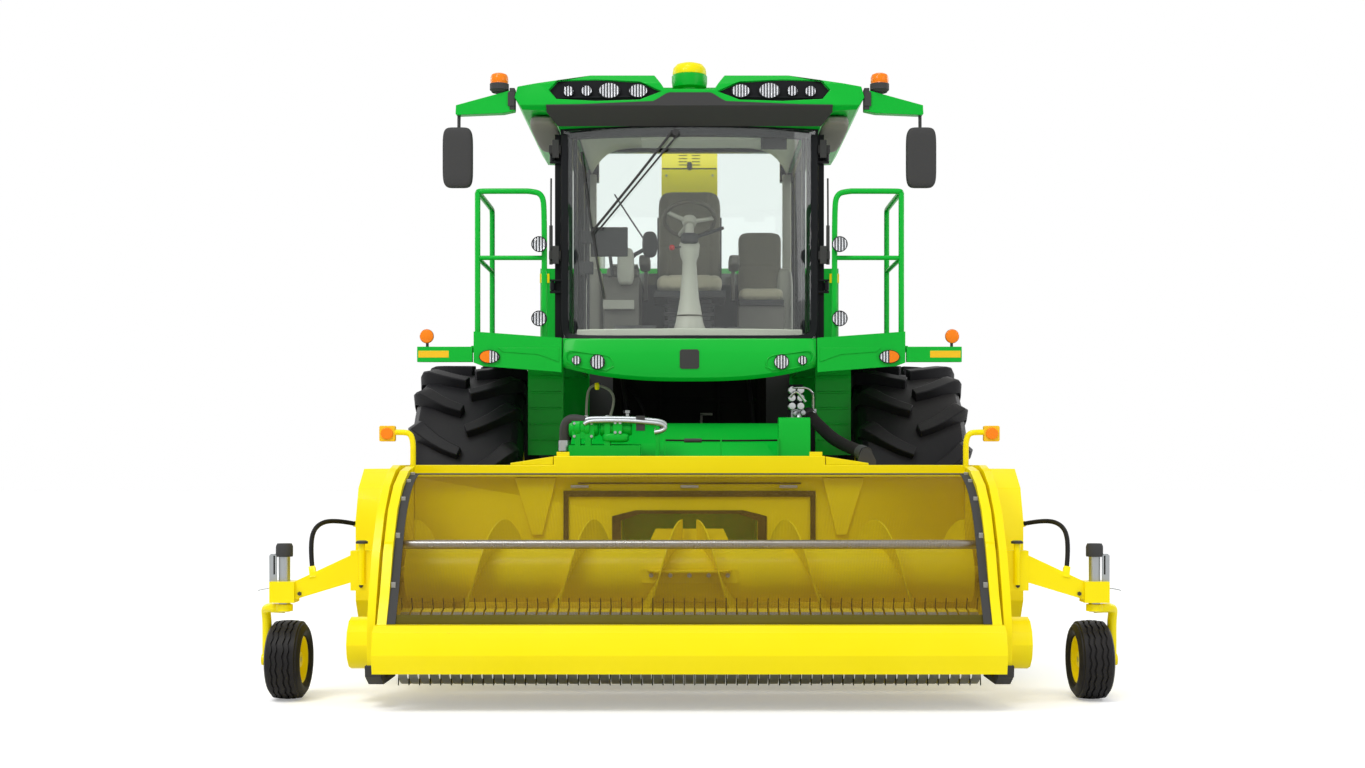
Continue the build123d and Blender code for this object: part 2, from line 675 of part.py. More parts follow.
# Mirrors on tapering arms from the roof corners, and the beacons that stand on the arms
mirror_x = roof_half_w + 340
arm_front_y = roof_front_y + 20
arm_rear_y = roof_front_y + 90
beacon_x = roof_half_w + 97
with BuildPart() as mirrors:
    for s, side in SIDES:
        front_profile([(s * (roof_half_w + seat_gap), roof_shoulder_z - 10), (s * (mirror_x + 18), visor_z + 6),
                       (s * (mirror_x + 18), visor_z - 54), (s * (roof_half_w + seat_gap), visor_z - 29)],
                      arm_front_y, arm_rear_y)
        sided_up(13, s * mirror_x, arm_front_y + 30, 2860, visor_z - 20, 6)
        front_profile([(s * (mirror_x - 90), 2870), (s * (mirror_x - 72), 2850), (s * (mirror_x + 72), 2850),
                       (s * (mirror_x + 90), 2870), (s * (mirror_x + 90), 3190), (s * (mirror_x + 70), 3213),
                       (s * (mirror_x - 70), 3213), (s * (mirror_x - 90), 3190)],
                      arm_front_y - 50, arm_front_y + 20)
save(mirrors, "mirrors")

beacon_foot_r = 42
arm_root_z = roof_shoulder_z - 10
arm_tip_z = visor_z + 6
arm_slope = (arm_root_z - arm_tip_z) / (mirror_x + 18 - roof_half_w)
beacon_foot_z = arm_root_z - arm_slope * (beacon_x - beacon_foot_r - roof_half_w) + seat_gap
with BuildPart() as beacons:
    for s, side in SIDES:
        sided_up(beacon_foot_r, s * beacon_x, arm_front_y + 35, beacon_foot_z, beacon_foot_z + 52, 12)
        sided_up(58, s * beacon_x, arm_front_y + 35, beacon_foot_z + 51, beacon_foot_z + 116, 12)
save(beacons, "beacons")

# Platforms over the front wheels with their front fenders, and the ladder on the left
step_zs = (500, 780, 1060, 1340, 1620)
shield_inner_x = 795
shield_outer_x = 1020
wheel_shield_y = -1460
wheel_shield_z = 1250
with BuildPart() as platforms:
    for s, side in SIDES:
        bar(s * (cab_half_w + seat_gap), s * deck_half_w, deck_front_y, body_front_y - seat_gap,
            deck_top_z - deck_t, deck_top_z)
        front_profile([(s * fender_inner_x, deck_top_z - 153), (s * fender_inner_x, deck_top_z + 51),
                       (s * (deck_half_w - 60), deck_top_z + 85), (s * (deck_half_w - 7), deck_top_z + 89),
                       (s * (deck_half_w - 7), deck_top_z - 96), (s * (deck_half_w - 60), deck_top_z - 116)],
                      fender_front_y, fender_front_y + fender_t)
        bar(s * shield_inner_x, s * shield_outer_x, wheel_shield_y, wheel_shield_y + 40, wheel_shield_z,
            deck_top_z - deck_t + 1)
    for y in (ladder_y, ladder_y + ladder_w - 30):
        bar(deck_half_w - 1, deck_half_w + 40, y, y + 30, step_zs[0] - 20, deck_top_z)
    for z in step_zs:
        bar(deck_half_w - 1, deck_half_w + 190, ladder_y, ladder_y + ladder_w, z, z + 30)
save(platforms, "platforms")

fascia_line = [(0, fascia_top_z), (fascia_half_w, fascia_top_z), (fascia_half_w, fascia_bottom_z + 85),
               (fascia_half_w - 60, fascia_bottom_z + 52), (fascia_half_w - 200, fascia_bottom_z + 20),
               (fascia_half_w - 420, fascia_bottom_z + 4), (0, fascia_bottom_z)]
fascia_back_y = cab_front_y - screen_bow - 20
with BuildPart() as front_fascia:
    front_profile(mirrored(fascia_line), fascia_front_y, cab_front_y + 30 - seat_gap)
    side_profile([(fascia_front_y + 14, fascia_bottom_z - 1), (fascia_front_y, fascia_bottom_z + 24),
                  (fascia_front_y, fascia_top_z - 87), (fascia_front_y + 30, fascia_top_z + 1),
                  (fascia_front_y + 80, fascia_top_z + 1), (fascia_front_y + 80, cab_floor_z),
                  (fascia_back_y, cab_floor_z), (fascia_back_y, cab_floor_z - cab_floor_t - seat_gap),
                  (cab_front_y + 30, cab_floor_z - cab_floor_t - seat_gap), (cab_front_y + 30, fascia_bottom_z - 1)],
                 -fascia_half_w - 1, fascia_half_w + 1, mode=Mode.INTERSECT)
save(front_fascia, "front_fascia")

# Handrails: a hoop at each front corner and a rail back along each side
rail_outer_x = rail_post_xs[1] - 20
with BuildPart() as handrails:
    for s, side in SIDES:
        for x, y in ((rail_post_xs[0], rail_hoop_y), (rail_outer_x, rail_hoop_y), (rail_outer_x, rail_end_y)):
            sided_up(rail_tube_r, s * x, y, deck_top_z, rail_top + rail_tube_r, 6)
        for z in (rail_mid, rail_top):
            sided_across(rail_tube_r, s * rail_post_xs[0], s * rail_outer_x, rail_hoop_y, z, 6)
            sided_along(rail_tube_r, s * rail_outer_x, rail_hoop_y, rail_end_y, z, 6)
save(handrails, "handrails")

# Lamps: in the roof pods, in the fascia, in the fenders and on the inner hoop posts
pod_floor_y = roof_front_y + pod_depth
hoop_lamp_y = rail_hoop_y - rail_tube_r * cos(pi / 6)
tail_lamp_z = 2080
lamps = (
    # x, z, lamp_r, back_y, lamp_t
    (481, 3438, 52, pod_floor_y, 25),
    (308, 3436, 44, pod_floor_y, 25),
    (727, 3434, 36, pod_floor_y, 25),
    (618, 3436, 36, pod_floor_y, 25),
    (671, 1810, 28, fascia_front_y, 14),
    (546, 1800, 46, fascia_front_y, 14),
    (1187, 1831, 52, fender_front_y, 14),
    (rail_post_xs[0] + 26, 2505, 48, hoop_lamp_y, 50),
    (rail_post_xs[0] + 26, 2062, 48, hoop_lamp_y, 50),
)
with BuildPart() as work_lamps:
    for s, side in SIDES:
        for lamp_x, lamp_z, lamp_r, back_y, lamp_t in lamps:
            sided_along(lamp_r, s * lamp_x, back_y - seat_gap - lamp_t, back_y - seat_gap, lamp_z, 10)
        bar(s * (body_half_w - 200), s * (body_half_w - 40), body_rear_y + seat_gap, body_rear_y + 40,
            tail_lamp_z - 45, tail_lamp_z + 45)
save(work_lamps, "work_lamps")

# Width marker bars beside the fenders, each with a round lamp on a stem
marker_x = deck_half_w + 330
marker_lamp_x = marker_x - 60
with BuildPart() as marker_bars:
    for s, side in SIDES:
        bar(s * (deck_half_w + seat_gap), s * marker_x, fender_front_y, fender_front_y + fender_t,
            deck_top_z - 93, deck_top_z)
        bar(s * (marker_lamp_x - 10), s * (marker_lamp_x + 10), fender_front_y, fender_front_y + 20,
            deck_top_z - 1, deck_top_z + 30)
        sided_along(45, s * marker_lamp_x, fender_front_y - 20, fender_front_y + 12, deck_top_z + 60, 12)
save(marker_bars, "marker_bars")

# Engine body: a hollow hood with an opening on each side for the gull-wing panel
body_line = [(body_front_y, body_sill_z), (body_front_y, body_top_z), (body_front_y + 1500, body_top_z),
             (body_rear_y, body_tail_z), (body_rear_y, body_sill_z)]
with BuildPart() as engine_body:
    side_profile(body_line, -body_half_w, body_half_w)
    side_profile([(body_front_y + body_wall, body_sill_z - 1), (body_front_y + body_wall, body_top_z - body_wall),
                  (body_front_y + 1500, body_top_z - body_wall), (body_rear_y - body_wall, body_tail_z - body_wall),
                  (body_rear_y - body_wall, body_sill_z - 1)],
                 -body_half_w + body_wall, body_half_w - body_wall, mode=Mode.SUBTRACT)
    bar(-body_half_w - 1, body_half_w + 1, panel_front_y, panel_rear_y, panel_bottom_z, panel_top_z,
        mode=Mode.SUBTRACT)
    for s, side in SIDES:
        for y in (panel_front_y, panel_rear_y):
            inward = 1 if y == panel_front_y else -1
            bar(s * (body_half_w - 10), s * (body_half_w + panel_hinge_out + 14), y - inward * 20, y - inward * 8,
                panel_top_z - 14, panel_top_z + 22)
            with Locations(Location((s * (body_half_w + panel_hinge_out), y + inward * 10, panel_top_z + 4), (90, 0, 0))):
                Cylinder(panel_pin_r, 40)
    bar(-body_half_w + 1, body_half_w - 1, rail_rear_y - body_post_w, rail_rear_y, body_sill_z, body_sill_z + 60)
    bar(-grille_half_w, grille_half_w, body_rear_y - body_wall - 1, body_rear_y + 1, grille_bottom_z, grille_top_z,
        mode=Mode.SUBTRACT)
    for slat in range(1, slat_count + 1):
        slat_z = grille_bottom_z + slat * (grille_top_z - grille_bottom_z) / (slat_count + 1)
        bar(-grille_half_w - 1, grille_half_w + 1, body_rear_y - body_wall + 8, body_rear_y - 8,
            slat_z - slat_t / 2, slat_z + slat_t / 2)
    sided_up(exhaust_r, -exhaust_x, exhaust_y, body_top_z - 2, body_top_z + 260, 12)
save(engine_body, "engine_body")

for s, side in SIDES:
    with BuildPart() as panel:
        bar(s * (body_half_w - panel_t), s * body_half_w, panel_front_y + face_gap, panel_rear_y - face_gap,
            panel_bottom_z + face_gap, panel_top_z - face_gap)
        hinge_x = s * (body_half_w + panel_hinge_out)
        bar(s * (body_half_w - 5), s * (body_half_w + panel_hinge_out), panel_front_y + face_gap,
            panel_rear_y - face_gap, panel_top_z - 20, panel_top_z - face_gap)
        with Locations(Location((hinge_x, (panel_front_y + panel_rear_y) / 2, panel_top_z + 4), (90, 0, 0))):
            Cylinder(12, panel_rear_y - panel_front_y - 2 * face_gap)
        for y in (panel_front_y, panel_rear_y):
            with Locations(Location((hinge_x, y, panel_top_z + 4), (90, 0, 0))):
                Cylinder(panel_pin_r + pin_gap, 70, mode=Mode.SUBTRACT)
    save(panel, f"side_panel_{side}")

# Spout: turret on its ring, the chute that tilts on it, and the flap at the end
spout_pin_r = 30
with BuildPart() as spout_turret:
    upright(ring_r, 0, turret_y, turret_bottom_z, turret_bottom_z + 40)
    bar(-turret_half_w, turret_half_w, turret_y - turret_arc_r, turret_y + turret_arc_r,
        turret_bottom_z + 39, spout_pivot_z)
    sided_across(turret_arc_r, -turret_half_w, turret_half_w, turret_y, spout_pivot_z, 20)
    across(spout_pin_r - pin_gap, -spout_half_w, spout_half_w, turret_y, spout_pivot_z)
save(spout_turret, "spout_turret")

flap_y = spout_end_y + 30
flap_z = spout_pivot_z + 500
flap_pin_r = 8
lip_z = spout_pivot_z + 60
chute_outer = [(turret_y - 255, spout_pivot_z - 60), (turret_y - 255, spout_pivot_z + 260),
               (turret_y - 215, spout_pivot_z + 380), (turret_y - 130, spout_pivot_z + 490),
               (turret_y, spout_pivot_z + 580), (turret_y + 160, spout_pivot_z + 645),
               (turret_y + 400, spout_pivot_z + 690), (turret_y + 700, spout_pivot_z + 700),
               (turret_y + 1300, spout_pivot_z + 680), (spout_end_y, spout_pivot_z + 520),
               (spout_end_y, spout_pivot_z + 300), (turret_y + 1300, spout_pivot_z + 430),
               (turret_y + 800, spout_pivot_z + 430), (turret_y + 550, spout_pivot_z + 390),
               (turret_y + 420, spout_pivot_z + 320), (turret_y + 340, spout_pivot_z + 200),
               (turret_y + 255, spout_pivot_z - 60)]
chute_inner = [(turret_y - 256, spout_pivot_z - 61), (turret_y - 256, lip_z), (turret_y - 244, lip_z),
               (turret_y - 244, spout_pivot_z + 257), (turret_y - 206, spout_pivot_z + 374),
               (turret_y - 123, spout_pivot_z + 480), (turret_y + 6, spout_pivot_z + 568),
               (turret_y + 163, spout_pivot_z + 633), (turret_y + 402, spout_pivot_z + 678),
               (turret_y + 700, spout_pivot_z + 688), (turret_y + 1298, spout_pivot_z + 668),
               (spout_end_y + 1, spout_pivot_z + 508), (spout_end_y + 1, spout_pivot_z + 312),
               (turret_y + 1302, spout_pivot_z + 442), (turret_y + 798, spout_pivot_z + 442),
               (turret_y + 545, spout_pivot_z + 402), (turret_y + 411, spout_pivot_z + 328),
               (turret_y + 329, spout_pivot_z + 203), (turret_y + 243, spout_pivot_z - 61)]
with BuildPart() as spout_chute:
    side_profile(chute_outer, -spout_half_w, spout_half_w)
    side_profile(chute_inner, -spout_half_w + spout_wall, spout_half_w - spout_wall, mode=Mode.SUBTRACT)
    across(spout_pin_r, -spout_half_w - 1, spout_half_w + 1, turret_y, spout_pivot_z, mode=Mode.SUBTRACT)
    for s, side in SIDES:
        bar(s * (spout_half_w - 10), s * spout_half_w, spout_end_y - 40, flap_y + 14, flap_z - 12, flap_z + 12)
    across(flap_pin_r, -spout_half_w + 1, spout_half_w - 1, flap_y, flap_z)
save(spout_chute, "spout_chute")

# Flap at the end of the spout, hinged on a rod across its top
flap_half_w = spout_half_w - 16
with BuildPart() as spout_flap:
    side_profile([(flap_y, flap_z - 13), (flap_y + flap_length, flap_z - 120),
                  (flap_y + flap_length, flap_z - 134), (flap_y, flap_z - 27)],
                 -flap_half_w, flap_half_w)
    sided_across(flap_pin_r + 11, -flap_half_w, flap_half_w, flap_y, flap_z, 12)
    across(flap_pin_r + pin_gap, -spout_half_w, spout_half_w, flap_y, flap_z, mode=Mode.SUBTRACT)
save(spout_flap, "spout_flap")

# Cab inside: pads, then seat frames, steering column, consoles and monitor
seat_z = cab_floor_z + 430
with BuildPart() as seat_pads:
    bar(-240, 240, -1080, -700, seat_z + seat_gap, seat_z + 110)
    bar(-235, 235, -690, -590 - seat_gap, seat_z + seat_gap, seat_z + 740)
    bar(320, 650, -780, -520, seat_z - 30 + seat_gap, seat_z + 50)
    bar(320, 650, -510, -440 - seat_gap, seat_z - 30 + seat_gap, seat_z + 480)
save(seat_pads, "seat_pads")
column_y = -1320
column_line = (
    # half_w, half_depth, y, z
    (75, 50, column_y - 65, cab_floor_z + 39),
    (35, 30, column_y + 40, cab_floor_z + 680),
)
with BuildPart() as cab_controls:
    bar(-190, 190, -1000, -560, cab_floor_z, cab_floor_z + 160)
    bar(-120, 120, -930, -620, cab_floor_z + 159, seat_z)
    bar(-230, 230, -1060, -560, seat_z - 40, seat_z)
    bar(-220, 220, -590, -560, seat_z - 10, seat_z + 560)
    bar(330, 640, -760, -420, cab_floor_z, seat_z - 30)
    bar(350, 620, -440, -420, seat_z - 31, seat_z + 440)
    bar(-90, 90, column_y - 130, column_y, cab_floor_z, cab_floor_z + 40)
    add(ringed([[(-half_w, y - deep, z), (half_w, y - deep, z), (half_w, y + deep, z), (-half_w, y + deep, z)]
                for half_w, deep, y, z in column_line]))
    wheel_plane = Plane(origin=(0, column_y + 75, cab_floor_z + 700), x_dir=(1, 0, 0), z_dir=(0, 0.5, 0.866))
    with BuildSketch(wheel_plane.offset(-60), mode=Mode.PRIVATE) as stub:
        RegularPolygon(28, 8)
    extrude(stub.sketch, amount=110)
    with BuildSketch(wheel_plane.offset(40), mode=Mode.PRIVATE) as ring:
        RegularPolygon(205, 16)
        RegularPolygon(178, 16, mode=Mode.SUBTRACT)
        Rectangle(380, 44)
        with Locations((0, -90)):
            Rectangle(40, 190)
    extrude(ring.sketch, amount=20)
    bar(-560, -330, -1120, -420, cab_floor_z, cab_floor_z + 520)
    bar(-480, -400, -1080, -1000, cab_floor_z + 519, cab_floor_z + 640)
    bar(-640, -400, -1190, -1160, cab_floor_z + 640, cab_floor_z + 830)
    bar(-520, -480, -1170, -1100, cab_floor_z + 500, cab_floor_z + 660)
save(cab_controls, "cab_controls")

# Header frame: back wall with its mouth, trough, top beam and the seats of the feeder
trough_front_y = -3350
trough_bottom_z = auger_z - trough_r
seat_outer_x = 680
with BuildPart() as header_frame:
    bar(-header_half_w, header_half_w, header_back_y, header_back_y + header_plate_t, header_floor_z,
        header_top_z - 6)
    bar(-mouth_half_w, mouth_half_w, header_back_y - 1, header_back_y + header_plate_t + 1,
        mouth_bottom_z, mouth_top_z, mode=Mode.SUBTRACT)
    bar(-header_half_w, header_half_w, header_back_y - 60, header_back_y + 80, header_top_z - 66, header_top_z)
    bar(-seat_outer_x - 70, seat_outer_x + 70, header_back_y - 60, header_back_y + 60,
        header_top_z - 56, header_top_z + 50)
    side_profile([(header_back_y, header_floor_z), (header_back_y, header_floor_z + 200),
                  (auger_y + 290, auger_z - 165), (auger_y + 210, auger_z - 243), (auger_y + 110, auger_z - 302),
                  (auger_y, trough_bottom_z), (trough_front_y, trough_bottom_z),
                  (trough_front_y, trough_bottom_z - 20), (auger_y, trough_bottom_z - 20),
                  (header_back_y - 100, header_floor_z)],
                 -header_half_w, header_half_w)
    for s, side in SIDES:
        bar(s * mouth_half_w, s * seat_outer_x, header_back_y + header_plate_t - 1, feeder_front_y - seat_gap,
            300, 1070)
save(header_frame, "header_frame")

# End plates with curved front edges, their bearings, the side shields and the reel drive covers
plate_outer_x = header_half_w + header_plate_t
end_plate_line = [(header_back_y + 60, header_floor_z), (header_back_y + 60, header_top_z),
                  (guard_hinge_y - 60, header_top_z), (guard_hinge_y - 210, header_top_z - 30),
                  (guard_hinge_y - 370, header_top_z - 110), (guard_hinge_y - 520, header_top_z - 250),
                  (guard_hinge_y - 640, header_top_z - 440), (guard_hinge_y - 720, header_top_z - 640),
                  (reel_y - 240, reel_z + 120), (reel_y - 240, reel_z - 100), (reel_y - 120, reel_z - 190),
                  (reel_y + 150, reel_z - 190), (trough_front_y + 60, header_floor_z)]
end_window = [(auger_y + 60, auger_z + 400), (auger_y - 180, auger_z + 385), (auger_y - 330, auger_z + 300),
              (auger_y - 250, auger_z + 210), (auger_y + 60, auger_z + 270)]
cover_r = 130
bearing_in = 60
with BuildPart() as header_sides:
    for s, side in SIDES:
        x0, x1 = sorted((s * (header_half_w + seat_gap), s * plate_outer_x))
        side_profile(end_plate_line, x0, x1)
        across(auger_pin_r - pin_gap, s * (auger_half_w - bearing_in), s * (header_half_w + 2), auger_y, auger_z)
        across(reel_pin_r - pin_gap, s * (reel_half_w - bearing_in), s * (header_half_w + 2), reel_y, reel_z)
        across(guard_pin_r - pin_gap, s * (guard_half_w - 40), s * (header_half_w + 2), guard_hinge_y, guard_hinge_z)
        x0, x1 = sorted((s * (plate_outer_x - 1), s * shield_x))
        side_profile([(header_back_y + 40, 330), (header_back_y + 40, header_top_z - 20), (-3000, header_top_z - 20),
                      (-3150, header_top_z - 120), (-3225, 900), (-3225, 480), (-3120, 330)], x0, x1)
        sided_across(cover_r, s * (plate_outer_x - 1), s * (plate_outer_x + 125), reel_y, reel_z, 12)
        socket(*sided_route(gauge_hose_route[:2], s), gauge_hose_r + 4, 40)
save(header_sides, "header_sides")

# Auger: tube with two flights of opposite hand that meet in the middle
flight_turns = 3
flight_steps = 12
flight_t = 16
flight_root_r = auger_tube_r - 14
flight_length = auger_half_w - 30
flight_gap = 80


def flight(hand):
    """One helical flight, from the end of the tube to its middle, as a closed shell of flat triangles."""
    steps = flight_turns * flight_steps
    section = ((-flight_t / 2, flight_root_r), (flight_t / 2, flight_root_r),
               (flight_t / 2, auger_flight_r), (-flight_t / 2, auger_flight_r))
    rings = []
    for step in range(steps + 1):
        turn = 2 * pi * step / flight_steps
        flight_x = hand * (flight_length - (flight_length - flight_gap / 2) * step / steps)
        rings.append([(flight_x + x, auger_y + r * sin(turn), auger_z + r * cos(turn)) for x, r in section])
    return ringed(rings, twisted=True)


with BuildPart() as auger:
    sided_across(auger_tube_r, -auger_half_w, auger_half_w, auger_y, auger_z, flight_steps)
    for s, side in SIDES:
        add(flight(s))
        across(auger_pin_r, s * (auger_half_w - bearing_in - 10), s * (auger_half_w + 1), auger_y, auger_z,
               mode=Mode.SUBTRACT)
save(auger, "auger")

# Pickup reel: a tube with rows of tine pairs
tine_rows = 5
tines_per_row = 14
tine_w = 22
tine_pitch = 2 * reel_half_w / tines_per_row
with BuildPart() as pickup_reel:
    sided_across(reel_tube_r, -reel_half_w, reel_half_w, reel_y, reel_z, 12)
    comb = [(-reel_half_w, reel_tube_r - 30), (-reel_half_w, reel_tube_r + 40)]
    for tine in range(tines_per_row):
        tine_x = -reel_half_w + (tine + 0.5) * tine_pitch
        comb += [(tine_x - 30, reel_tube_r + 40), (tine_x - tine_w / 2, tine_r), (tine_x + tine_w / 2, tine_r),
                 (tine_x + 30, reel_tube_r + 40)]
    comb += [(reel_half_w, reel_tube_r + 40), (reel_half_w, reel_tube_r - 30)]
    for row in range(tine_rows):
        turn = (18 + row * 360 / tine_rows) * pi / 180
        row_plane = Plane(origin=(0, reel_y, reel_z), x_dir=(1, 0, 0), z_dir=(0, -sin(turn), cos(turn)))
        with BuildSketch(row_plane.offset(-5), mode=Mode.PRIVATE) as blade:
            with BuildLine():
                Polyline(*[(x, r) for x, r in comb], close=True)
            make_face()
        extrude(blade.sketch, amount=10)
    for s, side in SIDES:
        across(reel_pin_r, s * (reel_half_w - bearing_in - 10), s * (reel_half_w + 1), reel_y, reel_z,
               mode=Mode.SUBTRACT)
save(pickup_reel, "pickup_reel")

# Wind guard: arms on the hinge, the hood over the tines and the roller between them
arm_w = 50
arm_inner_x = guard_half_w - arm_w
arm_outer_x = guard_half_w - 4
hood_t = 12
hood_back_y = nose_y + 145
arm_line = [(guard_hinge_y + 40, guard_hinge_z + 26), (guard_hinge_y - 150, guard_hinge_z + 4),
            (guard_hinge_y - 340, guard_hinge_z - 70), (guard_hinge_y - 490, guard_hinge_z - 190),
            (guard_hinge_y - 620, guard_hinge_z - 390), (guard_hinge_y - 710, guard_hinge_z - 600),
            (hood_back_y - 20, hood_top_z - 6), (hood_back_y + 30, hood_top_z - 6),
            (guard_hinge_y - 660, guard_hinge_z - 600), (guard_hinge_y - 570, guard_hinge_z - 410),
            (guard_hinge_y - 450, guard_hinge_z - 225), (guard_hinge_y - 310, guard_hinge_z - 115),
            (guard_hinge_y - 140, guard_hinge_z - 46), (guard_hinge_y + 20, guard_hinge_z - 30)]
hood_outer = [(nose_y + 22, hood_bottom_z), (nose_y, hood_bottom_z + 40), (nose_y, hood_top_z - 110),
              (nose_y + 30, hood_top_z - 30), (nose_y + 80, hood_top_z), (hood_back_y, hood_top_z)]
hood_inner = [(hood_back_y, hood_top_z - hood_t), (nose_y + 84, hood_top_z - hood_t), (nose_y + 40, hood_top_z - 38),
              (nose_y + hood_t, hood_top_z - 113), (nose_y + hood_t, hood_bottom_z + 42),
              (nose_y + 34, hood_bottom_z)]
with BuildPart() as wind_guard:
    for s, side in SIDES:
        x0, x1 = sorted((s * arm_inner_x, s * arm_outer_x))
        side_profile(arm_line, x0, x1)
        across(guard_pin_r, s * (arm_inner_x - 1), s * guard_half_w, guard_hinge_y, guard_hinge_z, mode=Mode.SUBTRACT)
        bar(s * arm_inner_x, s * arm_outer_x, guard_hinge_y - 600, press_y - 30, press_z - 20, press_z + 20)
        bar(s * arm_inner_x, s * arm_outer_x, press_y - 31, press_y + 24, press_z - 24, press_z + 24)
        across(press_pin_r, s * (arm_inner_x - 1), s * guard_half_w, press_y, press_z, mode=Mode.SUBTRACT)
    side_profile(hood_outer + hood_inner, -guard_half_w, guard_half_w)
save(wind_guard, "wind_guard")
with BuildPart() as guard_roller:
    sided_across(press_r, -arm_inner_x + seat_gap, arm_inner_x - seat_gap, press_y, press_z, 12)
    across(press_pin_r - pin_gap, -arm_outer_x, arm_outer_x, press_y, press_z)
save(guard_roller, "guard_roller")
curtain_t = 8
curtain_line = [(guard_hinge_y - 60, guard_hinge_z - 12), (guard_hinge_y - 145, guard_hinge_z - 22),
                (guard_hinge_y - 325, guard_hinge_z - 92), (guard_hinge_y - 470, guard_hinge_z - 207),
                (guard_hinge_y - 595, guard_hinge_z - 400), (guard_hinge_y - 685, guard_hinge_z - 600),
                (hood_back_y - 5, hood_top_z + 1)]
with BuildPart() as guard_curtain:
    side_profile(curtain_line + [(y + curtain_t, z - curtain_t / 2) if z > hood_top_z + 1 else (y + curtain_t, z)
                                 for y, z in reversed(curtain_line)], -arm_inner_x + seat_gap, arm_inner_x - seat_gap)
save(guard_curtain, "guard_curtain")

# Gauge wheel arms: a bracket on the end plate, the tapering arm and the clamp block of the caster post
gauge_x = plate_outer_x + 130
with BuildPart() as gauge_arms:
    for s, side in SIDES:
        bar(s * (plate_outer_x + seat_gap), s * gauge_x, caster_y - 40, caster_y + 40, 560, 760)
        sided_up(16, s * (plate_outer_x + 70), caster_y - 50, 590, 800, 8)
        front_profile([(s * (gauge_x - 1), 600), (s * (gauge_x - 1), 738), (s * (caster_x - 50), 602),
                       (s * (caster_x - 50), 512)], caster_y - 34, caster_y + 34)
        bar(s * (caster_x - 62), s * (caster_x + 62), caster_y - 60, caster_y + 60, 500, 606)
        upright(caster_post_r + pin_gap, s * caster_x, caster_y, 499, 607, mode=Mode.SUBTRACT)
        socket(*sided_route(gauge_hose_route[:-3:-1], s), gauge_hose_r + 4, 60)
save(gauge_arms, "gauge_arms")

# Casters: post, one-sided yoke bar, outer arm and the axle pin, with the tyre and its rim
caster_axle_y = caster_y + caster_trail
caster_seat_r = 120
caster_sides = 18
caster_pin_r = 15
yoke_z = 450
yoke_t = 34
yoke_inner_x = caster_w / 2 + 10
yoke_outer_x = yoke_inner_x + 36
for s, side in SIDES:
    x = s * caster_x
    with BuildPart() as fork:
        upright(caster_post_r, x, caster_y, yoke_z, caster_top_z)
        sided_up(caster_post_r + 14, x, caster_y, caster_top_z - 66, caster_top_z, 10)
        sided_up(caster_post_r + 14, x, caster_y, yoke_z, 494, 10)
        bar(x - s * 34, x + s * yoke_outer_x, caster_y - 34, caster_axle_y + 26, yoke_z, yoke_z + yoke_t)
        bar(x + s * yoke_inner_x, x + s * yoke_outer_x, caster_axle_y - 26, caster_axle_y + 26,
            caster_r - 32, yoke_z + 1)
        across(caster_pin_r - pin_gap, x - s * 60, x + s * (yoke_outer_x - 1), caster_axle_y, caster_r)
    save(fork, f"caster_fork_{side}")
    with BuildPart() as small_tyre:
        sided_shell([(-caster_w / 2 + 18, caster_seat_r + 14), (-caster_w / 2, caster_r - 38),
                     (-caster_w / 2 + 14, caster_r - 6), (0, caster_r), (caster_w / 2 - 14, caster_r - 6),
                     (caster_w / 2, caster_r - 38), (caster_w / 2 - 18, caster_seat_r + 14)], caster_sides)
        sided_across(caster_seat_r, -caster_w, caster_w, 0, 0, caster_sides, mode=Mode.SUBTRACT)
    small_tyre.part = small_tyre.part.moved(Location((x, caster_axle_y, caster_r)))
    save(small_tyre, f"caster_{side}_tyre")
    with BuildPart() as small_rim:
        sided_across(caster_seat_r - seat_gap, -70, 70, 0, 0, caster_sides)
        sided_across(caster_seat_r - 14, -71, -30, 0, 0, caster_sides, mode=Mode.SUBTRACT)
        sided_across(caster_seat_r - 14, 30, 71, 0, 0, caster_sides, mode=Mode.SUBTRACT)
        sided_across(40, -70, 70, 0, 0, 12)
        across(caster_pin_r, -71, 71, 0, 0, mode=Mode.SUBTRACT)
    small_rim.part = small_rim.part.moved(Location((x, caster_axle_y, caster_r)))
    save(small_rim, f"caster_{side}_rim")

lamp_post_x = plate_outer_x + 60
lamp_post_y = guard_hinge_y + 120
with BuildPart() as header_lamps:
    for s, side in SIDES:
        bar(s * (lamp_post_x - 45), s * (lamp_post_x + 45), lamp_post_y - 30, lamp_post_y + 30,
            header_top_z + 130, header_top_z + 210)
        sided_up(16, s * lamp_post_x, lamp_post_y, header_top_z - 20 + seat_gap, header_top_z + 131, 8)
save(header_lamps, "header_lamps")

# Drive of the header on top of the feeder housing: two motors, valve block, coupler box, hose clamps and the pipe
slope_rise = (feeder_bend_z - feeder_lip_z) / (feeder_bend_y - feeder_front_y)


def on_feeder(x0, x1, top_z):
    """A block that stands on the steep front slope of the feeder housing, level on top."""
    seats = [(y, feeder_lip_z + slope_rise * (y - feeder_front_y) + seat_gap + 0.1)
             for y in (drive_y - drive_half, drive_y + drive_half)]
    side_profile(seats + [(drive_y + drive_half, top_z), (drive_y - drive_half, top_z)], x0, x1)


